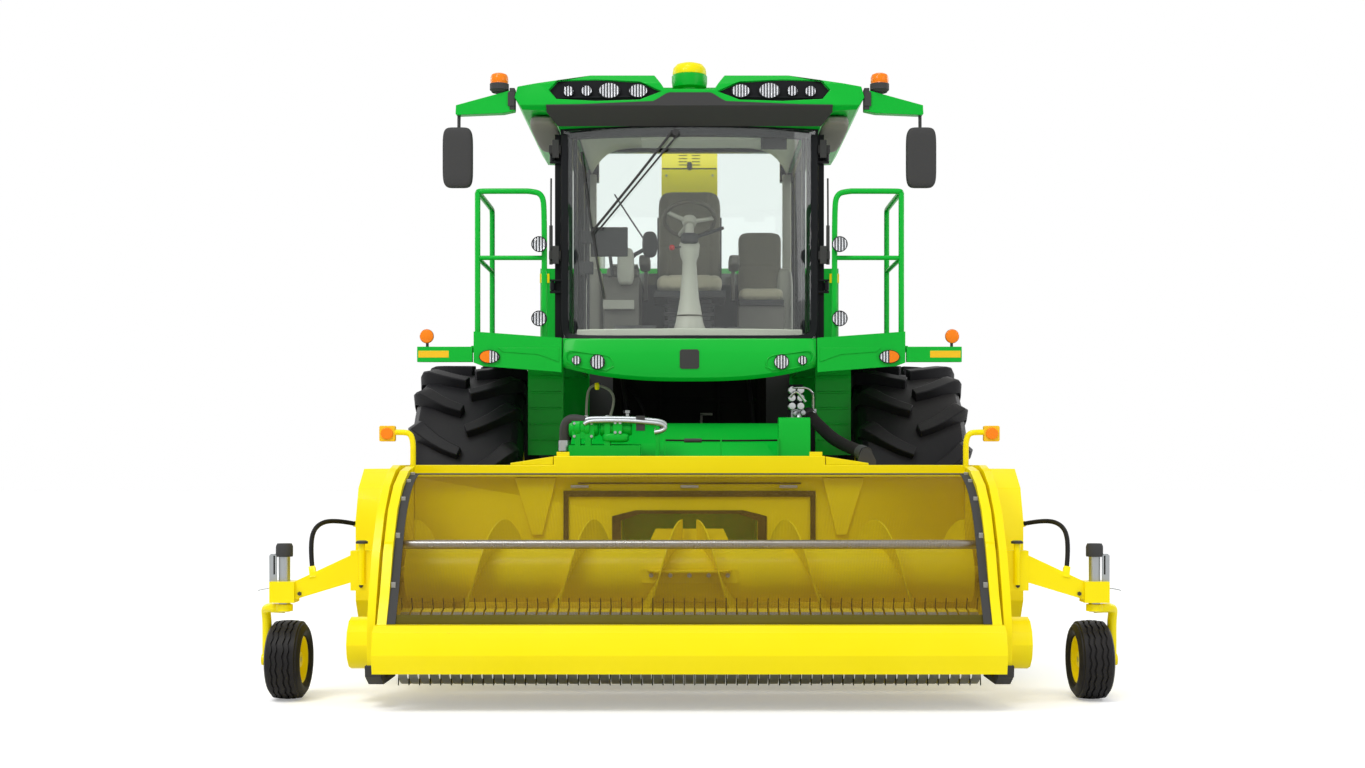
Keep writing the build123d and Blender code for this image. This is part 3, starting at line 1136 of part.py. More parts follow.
drive_y = -2400
drive_half = 60
sleeve_start = feeder_hose_route[0]
sleeve_end = feeder_hose_route[-1]
with BuildPart() as header_drive:
    on_feeder(-690, -280, 1392)
    sided_across(62, -686, -520, drive_y, 1400, 12)
    sided_across(44, -505, -330, drive_y, 1398, 10)
    bar(-440, -380, drive_y - drive_half, drive_y + drive_half, 1380, 1452)
    sided_across(14, -600, -180, drive_y - 45, 1440, 8)
    on_feeder(-196, -168, 1456)
    on_feeder(510, 690, 1462)
    bar(620, 774, feeder_hose_y + 14, feeder_hose_y + 60, feeder_top_z + seat_gap, sleeve_start[2] + 46)
    socket(*feeder_hose_route[:2], feeder_hose_r + 8, 40)
    bar(sleeve_end[0] - 40, sleeve_end[0] + 60, sleeve_end[1] - 80, sleeve_end[1] - 24, header_top_z + seat_gap,
        sleeve_end[2] + 30)
    socket(*feeder_hose_route[:-3:-1], feeder_hose_r + 4, 30)
save(header_drive, "header_drive")


def bend_radii(points):
    """The radius of each bend of a route: a share of its shorter run over the tangent of half the turn."""
    radii = []
    for before, corner, after in zip(points[:-2], points[1:-1], points[2:]):
        first = Vector(corner) - Vector(before)
        second = Vector(after) - Vector(corner)
        turn = first.get_angle(second) * pi / 180
        radii.append(bend_share * min(first.length, second.length) / tan(turn / 2))
    return radii


def hose(points, radius, name):
    """A round hose along straight runs joined by tangent arcs."""
    radii = bend_radii(points)
    with BuildPart() as made:
        with BuildLine() as route:
            FilletPolyline(*points, radius=radii)
        with BuildSketch(Plane(origin=route.line @ 0, z_dir=route.line % 0)):
            Circle(radius)
        sweep(path=route.line)
    length = sum(edge.length for edge in route.edges())
    section = pi * radius ** 2
    print(name, "length", round(length, 1), "radii", [round(r) for r in radii],
          "volume share", round(made.part.volume / (section * length), 5))
    save(made, name)


hose(feeder_hose_route, feeder_hose_r, "feeder_hose")
for s, side in SIDES:
    hose(sided_route(gauge_hose_route, s), gauge_hose_r, f"header_hose_{side}")
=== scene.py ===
"""Dresses the packed forage harvester: smooth forms, fine detail, finishes, studio and camera."""

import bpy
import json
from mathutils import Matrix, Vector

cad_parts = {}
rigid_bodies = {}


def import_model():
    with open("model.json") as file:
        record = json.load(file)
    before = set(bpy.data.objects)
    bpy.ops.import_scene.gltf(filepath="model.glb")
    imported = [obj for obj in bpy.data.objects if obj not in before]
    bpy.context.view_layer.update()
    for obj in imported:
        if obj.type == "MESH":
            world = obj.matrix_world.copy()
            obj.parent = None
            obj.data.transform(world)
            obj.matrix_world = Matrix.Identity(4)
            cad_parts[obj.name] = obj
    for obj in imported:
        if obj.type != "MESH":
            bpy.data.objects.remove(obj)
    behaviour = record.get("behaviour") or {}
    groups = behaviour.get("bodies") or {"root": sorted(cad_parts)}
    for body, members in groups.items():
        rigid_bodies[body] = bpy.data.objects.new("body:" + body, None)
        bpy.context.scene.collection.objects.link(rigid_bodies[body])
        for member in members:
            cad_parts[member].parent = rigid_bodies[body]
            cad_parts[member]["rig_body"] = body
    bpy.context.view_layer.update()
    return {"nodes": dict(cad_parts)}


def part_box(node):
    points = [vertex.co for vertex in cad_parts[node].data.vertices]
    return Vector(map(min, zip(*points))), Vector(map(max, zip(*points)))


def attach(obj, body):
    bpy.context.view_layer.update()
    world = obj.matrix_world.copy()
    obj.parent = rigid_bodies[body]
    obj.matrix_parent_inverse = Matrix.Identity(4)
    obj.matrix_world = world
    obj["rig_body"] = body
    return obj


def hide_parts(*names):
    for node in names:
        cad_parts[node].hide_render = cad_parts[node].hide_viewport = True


bl_info = {
    "name": "Forage harvester",
    "version": (1, 0, 0),
    "blender": (4, 5, 0),
    "location": "View3D > Sidebar > Harvester",
    "description": "Builds the looks of a forage harvester with a pickup header round its packed frame",
    "category": "Object",
}
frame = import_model()

import json
import math

import bmesh
import bpy
import numpy as np
from bpy.props import FloatVectorProperty, IntProperty, PointerProperty
from mathutils import Vector

SIDES = ((-1, "right"), (1, "left"))
TAU = 2 * math.pi

# Sizes shared with the part, in metres
CAB_FRONT, CAB_REAR, CAB_FLOOR, CAB_TOP, CAB_HALF = -1.75, -0.15, 1.9, 3.25, 0.79
SCREEN_BOW = 0.11
ROOF_FRONT, ROOF_REAR, ROOF_HALF = -1.98, -0.11, 1.05
DECK_TOP, DECK_HALF = 1.893, 1.29
HEADER_HALF, PLATE_OUT = 1.53, 1.57
AUGER_Y, AUGER_Z = -3.11, 0.61
REEL_Y, REEL_Z = -3.6, 0.3
HINGE_Y, HINGE_Z = -3.08, 1.156
NOSE_Y, HOOD_TOP, HOOD_BOTTOM = -4.0, 0.416, 0.189
ARM_IN = 1.47

# The camera of the photograph, found from the header's tines, the gauge wheels and the cab, in metres and millimetres
CAMERA_PLACE, CAMERA_LENS, CAMERA_SENSOR = (0.0, -11.82, 1.2), 43.25, 36.0
CAMERA_SHIFT = (-0.0051, 0.0579)
SKY_POWER, SKY_ANGLE = 0.9, math.radians(25)
FLOOR_HALF, FLOOR_DROP = 60.0, 0.0015
DUST_COLOUR = (0.36, 0.31, 0.23, 1)


# Shapes: every one is a pair of an (n, 3) array of points and a list of face index arrays

def grid(points, wrap_u=False, wrap_v=False, cap=False):
    """Quads over an array of points in rows and columns, closed round either way, with flat ends if capped."""
    rows, columns = points.shape[:2]
    index = np.arange(rows * columns).reshape(rows, columns)
    ends = [index[:1, :].copy(), index[-1:, ::-1].copy()] if cap else []
    if wrap_u:
        index = np.vstack([index, index[:1]])
    if wrap_v:
        index = np.hstack([index, index[:, :1]])
    quads = np.stack([index[:-1, :-1], index[1:, :-1], index[1:, 1:], index[:-1, 1:]], -1).reshape(-1, 4)
    return points.reshape(-1, 3), [quads] + ends


def turned(profile, steps=48, centre=(0, 0, 0), axis="x", loop=False):
    """A profile of (distance along the axis, radius) turned once round the axis through the centre."""
    profile = np.asarray(profile, float)
    turn = np.arange(steps) * TAU / steps
    along = np.repeat(profile[:, :1], steps, 1)
    first, second = profile[:, 1:] * np.cos(turn), profile[:, 1:] * np.sin(turn)
    order = {"x": (along, first, second), "y": (second, along, first), "z": (first, second, along)}[axis]
    points = np.stack(order, -1) + np.asarray(centre, float)
    return grid(points, wrap_u=loop, wrap_v=True, cap=not loop)


def spline(points, steps=8):
    """A quadratic curve that touches the middle of each run of the control points and ends on the end points."""
    p = np.asarray(points, float)
    if len(p) < 3:
        return p
    middles = (p[1:-2] + p[2:-1]) / 2
    starts, ends = np.vstack([p[:1], middles]), np.vstack([middles, p[-1:]])
    t = np.linspace(0, 1, steps + 1)[None, :, None]
    curve = (1 - t) ** 2 * starts[:, None] + 2 * t * (1 - t) * p[1:-1, None] + t ** 2 * ends[:, None]
    return np.vstack([curve[:, :-1].reshape(-1, p.shape[1]), p[-1:]])


def frames(path):
    """Two cross directions at each point of a path, turned as little as possible from point to point."""
    path = np.asarray(path, float)
    ahead = np.gradient(path, axis=0)
    ahead /= np.linalg.norm(ahead, axis=1)[:, None]
    guess = np.array((0.0, 0, 1)) if abs(ahead[0, 2]) < 0.9 else np.array((1.0, 0, 0))
    side = []
    for direction in ahead:
        guess = guess - direction * guess.dot(direction)
        guess = guess / np.linalg.norm(guess)
        side.append(guess)
    side = np.array(side)
    return side, np.cross(ahead, side)


def tube(path, radius, sides=12, smooth=0):
    """A circle carried along a path. The radius may be one number or one for each point."""
    path = spline(path, smooth) if smooth else np.asarray(path, float)
    side, other = frames(path)
    turn = np.arange(sides) * TAU / sides
    radius = np.broadcast_to(np.asarray(radius, float), (len(path),))[:, None, None]
    points = path[:, None] + radius * (np.cos(turn)[None, :, None] * side[:, None]
                                       + np.sin(turn)[None, :, None] * other[:, None])
    return grid(points, wrap_v=True, cap=True)


def carried(path, section, smooth=0):
    """A closed section of (across, up) carried along a path, upright in its own frame."""
    path = spline(path, smooth) if smooth else np.asarray(path, float)
    side, other = frames(path)
    section = np.asarray(section, float)
    points = path[:, None] + section[None, :, :1] * other[:, None] + section[None, :, 1:] * side[:, None]
    return grid(points, wrap_v=True, cap=True)


def plate(outline, lo, hi, axis="y"):
    """A flat outline carried straight along an axis, from lo to hi."""
    outline = np.asarray(outline, float)
    order = {"x": (2, 0, 1), "y": (0, 2, 1), "z": (0, 1, 2)}[axis]
    layers = [np.column_stack([outline, np.full(len(outline), at)])[:, order] for at in (lo, hi)]
    return grid(np.array(layers), wrap_v=True, cap=True)


def block(x0, x1, y0, y1, z0, z1):
    """A box between two corners, whose edges the piece's bevel rounds."""
    return plate([(x0, y0), (x1, y0), (x1, y1), (x0, y1)], z0, z1, "z")


def pillow(lo, hi, power=0.35, steps=20):
    """A superellipsoid between two corners: a sphere's sines and cosines raised to a power under 1."""
    lo, hi = np.asarray(lo, float), np.asarray(hi, float)
    u, v = np.meshgrid(np.linspace(-math.pi / 2, math.pi / 2, steps), np.arange(steps * 2) * math.pi / steps,
                       indexing="ij")
    bend = lambda value: np.sign(value) * np.abs(value) ** power
    unit = np.stack([bend(np.cos(u)) * bend(np.cos(v)), bend(np.cos(u)) * bend(np.sin(v)), bend(np.sin(u))], -1)
    points = (lo + hi) / 2 + unit * (hi - lo) / 2
    return grid(points, wrap_v=True, cap=True)


def copies(shape, offsets):
    """The same shape at each of an array of offsets."""
    points, faces = shape
    offsets = np.asarray(offsets, float).reshape(-1, 3)
    stack = (points[None] + offsets[:, None]).reshape(-1, 3)
    steps = (np.arange(len(offsets)) * len(points))[:, None, None]
    return stack, [(part[None] + steps).reshape(-1, part.shape[1]) for part in faces]


def around(shape, angles, centre=(0, 0, 0), axis="x"):
    """The same shape turned by each of an array of angles about an axis through the centre."""
    points, faces = shape
    centre = np.asarray(centre, float)
    c, s = np.cos(angles), np.sin(angles)
    zero, one = np.zeros_like(c), np.ones_like(c)
    rows = {"x": [[one, zero, zero], [zero, c, -s], [zero, s, c]],
            "y": [[c, zero, s], [zero, one, zero], [-s, zero, c]],
            "z": [[c, -s, zero], [s, c, zero], [zero, zero, one]]}[axis]
    matrices = np.moveaxis(np.array(rows), 2, 0)
    stack = (np.einsum("nij,kj->nki", matrices, points - centre) + centre).reshape(-1, 3)
    steps = (np.arange(len(angles)) * len(points))[:, None, None]
    return stack, [(part[None] + steps).reshape(-1, part.shape[1]) for part in faces]


def moved(shape, offset):
    """A shape shifted by an offset."""
    return shape[0] + np.asarray(offset, float), shape[1]


def mirrored(*shapes):
    """The shapes and their mirror images across the middle of the machine."""
    flipped = [(points * (-1, 1, 1), [part[:, ::-1] for part in faces]) for points, faces in shapes]
    return list(shapes) + flipped


def write_mesh(name, shapes, uv=None):
    """One mesh from several shapes, each with its own material number if given as (shape, number)."""
    points, loops, counts, slots, base = [], [], [], [], 0
    for entry in shapes:
        (verts, faces), number = entry if isinstance(entry[1], int) else (entry, 0)
        for part in faces:
            loops.append((part + base).ravel())
            counts.append(np.full(len(part), part.shape[1]))
            slots.append(np.full(len(part), number))
        points.append(verts)
        base += len(verts)
    points, loops = np.concatenate(points), np.concatenate(loops)
    counts, slots = np.concatenate(counts), np.concatenate(slots)
    mesh = bpy.data.meshes.new(name)
    mesh.vertices.add(len(points))
    mesh.vertices.foreach_set("co", points.astype(np.float32).ravel())
    mesh.loops.add(len(loops))
    mesh.loops.foreach_set("vertex_index", loops.astype(np.int32))
    mesh.polygons.add(len(counts))
    mesh.polygons.foreach_set("loop_start", (np.cumsum(counts) - counts).astype(np.int32))
    mesh.polygons.foreach_set("material_index", slots.astype(np.int32))
    mesh.update(calc_edges=True)
    if uv is not None:
        layer = mesh.uv_layers.new(name="surface")
        layer.data.foreach_set("uv", uv[loops].astype(np.float32).ravel())
    return mesh


def tidy_mesh(mesh, open_sheet=False):
    """Merges doubled points, drops empty faces and turns the normals of closed shells outwards."""
    shape = bmesh.new()
    shape.from_mesh(mesh)
    bmesh.ops.remove_doubles(shape, verts=shape.verts, dist=1e-6)
    bmesh.ops.dissolve_degenerate(shape, edges=shape.edges, dist=1e-6)
    if not open_sheet:
        bmesh.ops.recalc_face_normals(shape, faces=shape.faces)
    shape.to_mesh(mesh)
    shape.free()


def finish_piece(obj, materials, body, replaced=(), bevel=0.0, segments=2, soft=35):
    """Links a piece, gives it its materials and rounding, and fastens it to its body."""
    if obj.name not in bpy.context.scene.collection.objects:
        bpy.context.scene.collection.objects.link(obj)
    for name in ([materials] if isinstance(materials, str) else materials):
        obj.data.materials.append(bpy.data.materials[name])
    if soft:
        obj.data.polygons.foreach_set("use_smooth", np.ones(len(obj.data.polygons), bool))
        obj.data.set_sharp_from_angle(angle=math.radians(soft))
    if bevel:
        rounding = obj.modifiers.new("rounding", "BEVEL")
        rounding.width, rounding.segments = bevel, segments
        rounding.limit_method, rounding.angle_limit = "ANGLE", math.radians(30)
        rounding.harden_normals = False
    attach(obj, body)
    if replaced:
        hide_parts(*replaced)
    return obj


def piece(name, shapes, materials, body, replaced=(), bevel=0.0, segments=2, soft=35, open_sheet=False,
          uv=None):
    """A finished piece from worked-out shapes."""
    mesh = write_mesh(name, shapes, uv)
    tidy_mesh(mesh, open_sheet)
    return finish_piece(bpy.data.objects.new(name, mesh), materials, body, replaced, bevel, segments, soft)


def dressed(node, materials, bevel=0.004, segments=2):
    """A copy of a CAD node with its triangles merged into flat faces and its edges rounded, in the node's place."""
    source = frame["nodes"][node]
    mesh = source.data.copy()
    mesh.name = f"{node}_finished"
    shape = bmesh.new()
    shape.from_mesh(mesh)
    bmesh.ops.remove_doubles(shape, verts=shape.verts, dist=1e-5)
    bmesh.ops.dissolve_limit(shape, angle_limit=math.radians(0.6), verts=shape.verts, edges=shape.edges)
    shape.to_mesh(mesh)
    shape.free()
    mesh.materials.clear()
    mesh.polygons.foreach_set("material_index", np.zeros(len(mesh.polygons), np.int32))
    obj = bpy.data.objects.new(f"{node}_finished", mesh)
    return finish_piece(obj, materials, source["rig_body"], (node,), bevel, segments)


# Finishes

def linear(red, green, blue):
    """A screen colour of 0 to 255 as the renderer's linear values."""
    value = np.array((red, green, blue), float) / 255
    value = np.where(value <= 0.04045, value / 12.92, ((value + 0.055) / 1.055) ** 2.4)
    return (*value.tolist(), 1.0)


def node(tree, kind, inputs=None, **settings):
    """A new node with its settings, and each input given a value or a link."""
    made = tree.nodes.new(kind)
    for key, value in settings.items():
        setattr(made, key, value)
    for key, value in (inputs or {}).items():
        if isinstance(value, bpy.types.NodeSocket):
            tree.links.new(value, made.inputs[key])
        else:
            made.inputs[key].default_value = value
    return made


def math_node(tree, operation, first, second=0.0, third=0.0):
    """The value of one arithmetic step."""
    return node(tree, "ShaderNodeMath", {0: first, 1: second, 2: third}, operation=operation).outputs[0]


def effect_group(name, inputs, outputs):
    """A shader group with its sockets, and its two ends."""
    tree = bpy.data.node_groups.new(name, "ShaderNodeTree")
    kinds = {"colour": "NodeSocketColor", "value": "NodeSocketFloat", "vector": "NodeSocketVector"}
    for title, kind in inputs:
        tree.interface.new_socket(name=title, in_out="INPUT", socket_type=kinds[kind])
    for title, kind in outputs:
        tree.interface.new_socket(name=title, in_out="OUTPUT", socket_type=kinds[kind])
    return tree, tree.nodes.new("NodeGroupInput").outputs, tree.nodes.new("NodeGroupOutput").inputs


def build_weathering():
    """Colour variation, dust that settles low and on upward faces, and the fine relief of a coated surface."""
    tree, given, out = effect_group("weathering",
                                    (("Colour", "colour"), ("Dust Colour", "colour"), ("Dust", "value"),
                                     ("Roughness", "value"), ("Relief Scale", "value")),
                                    (("Colour", "colour"), ("Roughness", "value"), ("Height", "value")))
    place = node(tree, "ShaderNodeTexCoord").outputs["Object"]
    broad = node(tree, "ShaderNodeTexNoise", {"Vector": place, "Scale": 1.6, "Detail": 7.0}).outputs["Fac"]
    fine = node(tree, "ShaderNodeTexNoise", {"Vector": place, "Scale": 34.0, "Detail": 5.0}).outputs["Fac"]
    relief = node(tree, "ShaderNodeTexNoise", {"Vector": place, "Scale": given["Relief Scale"],
                                               "Detail": 2.0}).outputs["Fac"]
    height = node(tree, "ShaderNodeSeparateXYZ", {0: place}).outputs["Z"]
    low = node(tree, "ShaderNodeMapRange", {"Value": height, "From Min": 1.5, "From Max": 0.1}).outputs[0]
    facing = node(tree, "ShaderNodeSeparateXYZ",
                  {0: node(tree, "ShaderNodeNewGeometry").outputs["Normal"]}).outputs["Z"]
    upward = node(tree, "ShaderNodeMapRange", {"Value": facing, "From Min": 0.3, "From Max": 1.0}).outputs[0]
    patches = node(tree, "ShaderNodeMapRange", {"Value": broad, "From Min": 0.35, "From Max": 0.75}).outputs[0]
    amount = math_node(tree, "ADD", math_node(tree, "MULTIPLY", low, 0.5), math_node(tree, "MULTIPLY", upward, 0.6))
    amount = math_node(tree, "ADD", amount, 0.12)
    speckled = math_node(tree, "MULTIPLY", patches, math_node(tree, "ADD", fine, 0.4))
    mask = math_node(tree, "MULTIPLY", math_node(tree, "MULTIPLY", amount, speckled), given["Dust"])
    mask = node(tree, "ShaderNodeClamp", {"Value": mask}).outputs[0]
    shade = math_node(tree, "MULTIPLY_ADD", broad, 0.16, 0.92)
    tinted = node(tree, "ShaderNodeMix", {0: 1.0, 6: given["Colour"]}, data_type="RGBA", blend_type="MULTIPLY")
    grey = node(tree, "ShaderNodeCombineColor", {0: shade, 1: shade, 2: shade}).outputs[0]
    tree.links.new(grey, tinted.inputs[7])
    dusty = node(tree, "ShaderNodeMix", {0: mask, 6: tinted.outputs[2], 7: given["Dust Colour"]}, data_type="RGBA")
    tree.links.new(dusty.outputs[2], out["Colour"])
    rough = math_node(tree, "ADD", given["Roughness"], math_node(tree, "MULTIPLY", mask, 0.5))
    rough = math_node(tree, "ADD", rough, math_node(tree, "MULTIPLY", fine, 0.08))
    tree.links.new(rough, out["Roughness"])
    tree.links.new(math_node(tree, "MULTIPLY_ADD", fine, 0.3, relief), out["Height"])


def build_weave():
    """Two sets of threads over and under each other: a checker of sine ridges along the surface's own map."""
    tree, given, out = effect_group("weave", (("Surface", "vector"), ("Threads", "value")),
                                    (("Height", "value"), ("Gap", "value")))
    parts = node(tree, "ShaderNodeSeparateXYZ", {0: given["Surface"]})
    across = math_node(tree, "SINE", math_node(tree, "MULTIPLY", parts.outputs["X"], given["Threads"]))
    along = math_node(tree, "SINE", math_node(tree, "MULTIPLY", parts.outputs["Y"], given["Threads"]))
    tree.links.new(math_node(tree, "MULTIPLY", across, along), out["Height"])
    hole = math_node(tree, "MAXIMUM", math_node(tree, "ABSOLUTE", across), math_node(tree, "ABSOLUTE", along))
    tree.links.new(hole, out["Gap"])


def new_material(name):
    """An empty material with its shader and output joined."""
    material = bpy.data.materials.new(name)
    material.use_nodes = True
    tree = material.node_tree
    tree.nodes.clear()
    surface = node(tree, "ShaderNodeBsdfPrincipled")
    node(tree, "ShaderNodeOutputMaterial", {"Surface": surface.outputs[0]})
    return material, tree, surface


def coated(name, colour, rough, metallic, coat, dust, relief, bump):
    """Paint, rubber, plastic or metal: the weathering group feeds colour, roughness and bump."""
    material, tree, surface = new_material(name)
    group = node(tree, "ShaderNodeGroup", node_tree=bpy.data.node_groups["weathering"])
    for title, value in (("Colour", colour), ("Dust Colour", DUST_COLOUR), ("Dust", dust), ("Roughness", rough),
                         ("Relief Scale", relief)):
        group.inputs[title].default_value = value
    tree.links.new(group.outputs["Colour"], surface.inputs["Base Color"])
    tree.links.new(group.outputs["Roughness"], surface.inputs["Roughness"])
    lift = node(tree, "ShaderNodeBump", {"Height": group.outputs["Height"], "Strength": bump, "Distance": 0.002})
    tree.links.new(lift.outputs[0], surface.inputs["Normal"])
    surface.inputs["Metallic"].default_value = metallic
    surface.inputs["Specular IOR Level"].default_value = 0.5 if metallic else 0.13
    surface.inputs["Coat Weight"].default_value = coat
    surface.inputs["Coat Roughness"].default_value = 0.08
    return material


def build_finishes(sizes):
    """Every material of the machine."""
    build_weathering()
    build_weave()
    green, yellow = (*sizes.green, 1.0), (*sizes.yellow, 1.0)
    table = (
        # name, colour, rough, metallic, coat, dust, relief, bump
        ("green_gloss", green, 0.32, 0.0, 0.12, 0.05, 60.0, 0.03),
        # a darker copy of the body green: painted shade for the frame, axles and other parts underneath, with more dust
        # and roughness
        ("green_frame", linear(8, 104, 44), 0.5, 0.0, 0.1, 0.35, 80.0, 0.06),
        ("yellow_gloss", yellow, 0.30, 0.0, 0.12, 0.05, 60.0, 0.03),
        ("yellow_worn", linear(236, 208, 4), 0.42, 0.0, 0.05, 0.2, 80.0, 0.06),
        ("black_frame", linear(22, 24, 27), 0.36, 0.0, 0.0, 0.06, 240.0, 0.06),
        ("black_plastic", linear(24, 25, 28), 0.48, 0.0, 0.0, 0.06, 520.0, 0.12),
        # near-black that paints the shade in slots, slits, vents, the radiator's depth and the bulkhead behind the
        # front panel; also the colour of a few dark parts and joints
        ("dark_cavity", linear(12, 13, 12), 0.8, 0.0, 0.0, 0.3, 60.0, 0.1),
        ("tread_rubber", linear(25, 25, 28), 0.42, 0.0, 0.0, 0.08, 300.0, 0.16),
        ("hose_rubber", linear(20, 20, 21), 0.55, 0.0, 0.0, 0.1, 300.0, 0.12),
        ("bright_steel", linear(196, 198, 198), 0.24, 1.0, 0.0, 0.05, 400.0, 0.04),
        ("dull_steel", linear(150, 150, 146), 0.45, 1.0, 0.0, 0.3, 300.0, 0.08),
        ("cast_iron", linear(58, 60, 58), 0.6, 0.6, 0.0, 0.4, 160.0, 0.2),
        ("cab_trim", linear(112, 109, 102), 0.72, 0.0, 0.0, 0.05, 700.0, 0.2),
        ("cab_liner", linear(216, 220, 202), 0.8, 0.0, 0.0, 0.03, 600.0, 0.15),
        ("column_grey", linear(176, 174, 162), 0.42, 0.0, 0.1, 0.05, 300.0, 0.08),
        ("wheel_brown", linear(88, 83, 72), 0.5, 0.0, 0.1, 0.05, 500.0, 0.12),
        ("cab_carpet", linear(52, 52, 50), 0.95, 0.0, 0.0, 0.2, 900.0, 0.4),
        ("mirror_glass", linear(120, 124, 130), 0.05, 1.0, 0.0, 0.0, 50.0, 0.01),
        ("zinc", linear(172, 176, 178), 0.34, 1.0, 0.0, 0.1, 200.0, 0.06),
        ("sleeve_fabric", linear(26, 24, 25), 0.8, 0.0, 0.0, 0.05, 46.0, 0.9),
        ("duct_grey", linear(138, 134, 128), 0.6, 0.0, 0.0, 0.1, 300.0, 0.12),
        ("warm_orange", linear(250, 132, 4), 0.25, 0.0, 0.3, 0.05, 80.0, 0.05),
        ("red_lens", linear(176, 14, 12), 0.2, 0.0, 0.4, 0.05, 80.0, 0.05),
        ("reflector_yellow", linear(246, 196, 24), 0.35, 0.0, 0.3, 0.05, 900.0, 0.3),
        ("hem_cloth", linear(96, 88, 24), 0.8, 0.0, 0.0, 0.1, 500.0, 0.3),
    )
    for name, colour, rough, metallic, coat, dust, relief, bump in table:
        coated(name, colour, rough, metallic, coat, dust, relief, bump)
    for name, colour, rough, passed in (("pane", (0.93, 0.98, 0.96, 1), 0.01, 0.92),
                                        ("lamp_lens", (0.97, 0.98, 1.0, 1), 0.04, 0.9)):
        material, tree, surface = new_material(name)
        surface.inputs["Base Color"].default_value = colour
        surface.inputs["Transmission Weight"].default_value = 1.0
        surface.inputs["Specular IOR Level"].default_value = 0.05
        place = node(tree, "ShaderNodeTexCoord").outputs["Object"]
        haze = node(tree, "ShaderNodeTexNoise", {"Vector": place, "Scale": 3.0, "Detail": 6.0}).outputs["Fac"]
        rough_value = math_node(tree, "MULTIPLY_ADD", haze, 0.03, rough)
        tree.links.new(rough_value, surface.inputs["Roughness"])
        ray = node(tree, "ShaderNodeLightPath").outputs["Is Shadow Ray"]
        tree.links.new(math_node(tree, "MULTIPLY_ADD", ray, -passed, 1.0), surface.inputs["Alpha"])
    material, tree, surface = new_material("lamp_reflector")
    across = node(tree, "ShaderNodeSeparateXYZ", {0: node(tree, "ShaderNodeTexCoord").outputs["Object"]})
    # Painted reflection: bands of near-white and dark grey in the bowl's colour stand for the light and dark that its
    # flutes would reflect.
    painted_flute_glint = math_node(tree, "SINE", math_node(tree, "MULTIPLY", across.outputs["X"], 360.0))
    band = node(tree, "ShaderNodeMapRange", {"Value": painted_flute_glint, "From Min": -0.2, "From Max": 0.5}).outputs[0]
    broad = node(tree, "ShaderNodeTexNoise", {"Vector": across.inputs[0].links[0].from_socket,
                                              "Scale": 60.0}).outputs["Fac"]
    tone = node(tree, "ShaderNodeMix", {0: band, 6: linear(54, 56, 60), 7: linear(236, 238, 240)}, data_type="RGBA")
    tree.links.new(tone.outputs[2], surface.inputs["Base Color"])
    tree.links.new(math_node(tree, "MULTIPLY_ADD", broad, 0.3, 0.12), surface.inputs["Roughness"])
    surface.inputs["Metallic"].default_value = 0.75
    for name, dark, light in (("seat_cloth", (102, 97, 84), (142, 136, 118)),
                              ("cushion_cloth", (166, 158, 136), (200, 192, 166))):
        material, tree, surface = new_material(name)
        place = node(tree, "ShaderNodeTexCoord").outputs["Object"]
        speck = node(tree, "ShaderNodeTexNoise", {"Vector": place, "Scale": 220.0, "Detail": 3.0}).outputs["Fac"]
        broad = node(tree, "ShaderNodeTexNoise", {"Vector": place, "Scale": 6.0, "Detail": 4.0}).outputs["Fac"]
        ramp = node(tree, "ShaderNodeMix", {0: speck, 6: linear(*dark), 7: linear(*light)}, data_type="RGBA")
        tone = node(tree, "ShaderNodeMix", {0: math_node(tree, "MULTIPLY", broad, 0.3), 6: ramp.outputs[2],
                                            7: linear(*dark)}, data_type="RGBA")
        tree.links.new(tone.outputs[2], surface.inputs["Base Color"])
        surface.inputs["Roughness"].default_value = 0.9
        surface.inputs["Sheen Weight"].default_value = 0.3
        weave = node(tree, "ShaderNodeGroup", {"Surface": place}, node_tree=bpy.data.node_groups["weave"])
        weave.inputs["Threads"].default_value = 1400.0
        mixed = math_node(tree, "MULTIPLY_ADD", weave.outputs["Height"], 0.4, speck)
        lift = node(tree, "ShaderNodeBump", {"Height": mixed, "Strength": 0.35, "Distance": 0.002})
        tree.links.new(lift.outputs[0], surface.inputs["Normal"])
    material, tree, surface = new_material("screen_mesh")
    surface_map = node(tree, "ShaderNodeUVMap", uv_map="surface").outputs[0]
    weave = node(tree, "ShaderNodeGroup", {"Surface": surface_map}, node_tree=bpy.data.node_groups["weave"])
    weave.inputs["Threads"].default_value = 420.0
    place = node(tree, "ShaderNodeTexCoord").outputs["Object"]
    worn = node(tree, "ShaderNodeTexNoise", {"Vector": place, "Scale": 5.0, "Detail": 5.0}).outputs["Fac"]
    tone = node(tree, "ShaderNodeMix", {0: worn, 6: linear(84, 62, 4), 7: linear(124, 98, 10)}, data_type="RGBA")
    tree.links.new(tone.outputs[2], surface.inputs["Base Color"])
    surface.inputs["Roughness"].default_value = 0.6
    surface.inputs["Specular IOR Level"].default_value = 0.2
    cover = node(tree, "ShaderNodeMapRange", {"Value": weave.outputs["Gap"], "From Min": 0.3, "From Max": 0.95,
                                              "To Min": 0.1, "To Max": 0.34}).outputs[0]
    shadow = node(tree, "ShaderNodeLightPath").outputs["Is Shadow Ray"]
    thinned = math_node(tree, "MULTIPLY", cover, math_node(tree, "MULTIPLY_ADD", shadow, -0.9, 1.0))
    tree.links.new(thinned, surface.inputs["Alpha"])
    lift = node(tree, "ShaderNodeBump", {"Height": weave.outputs["Height"], "Strength": 0.3, "Distance": 0.001})
    tree.links.new(lift.outputs[0], surface.inputs["Normal"])


# Wheels

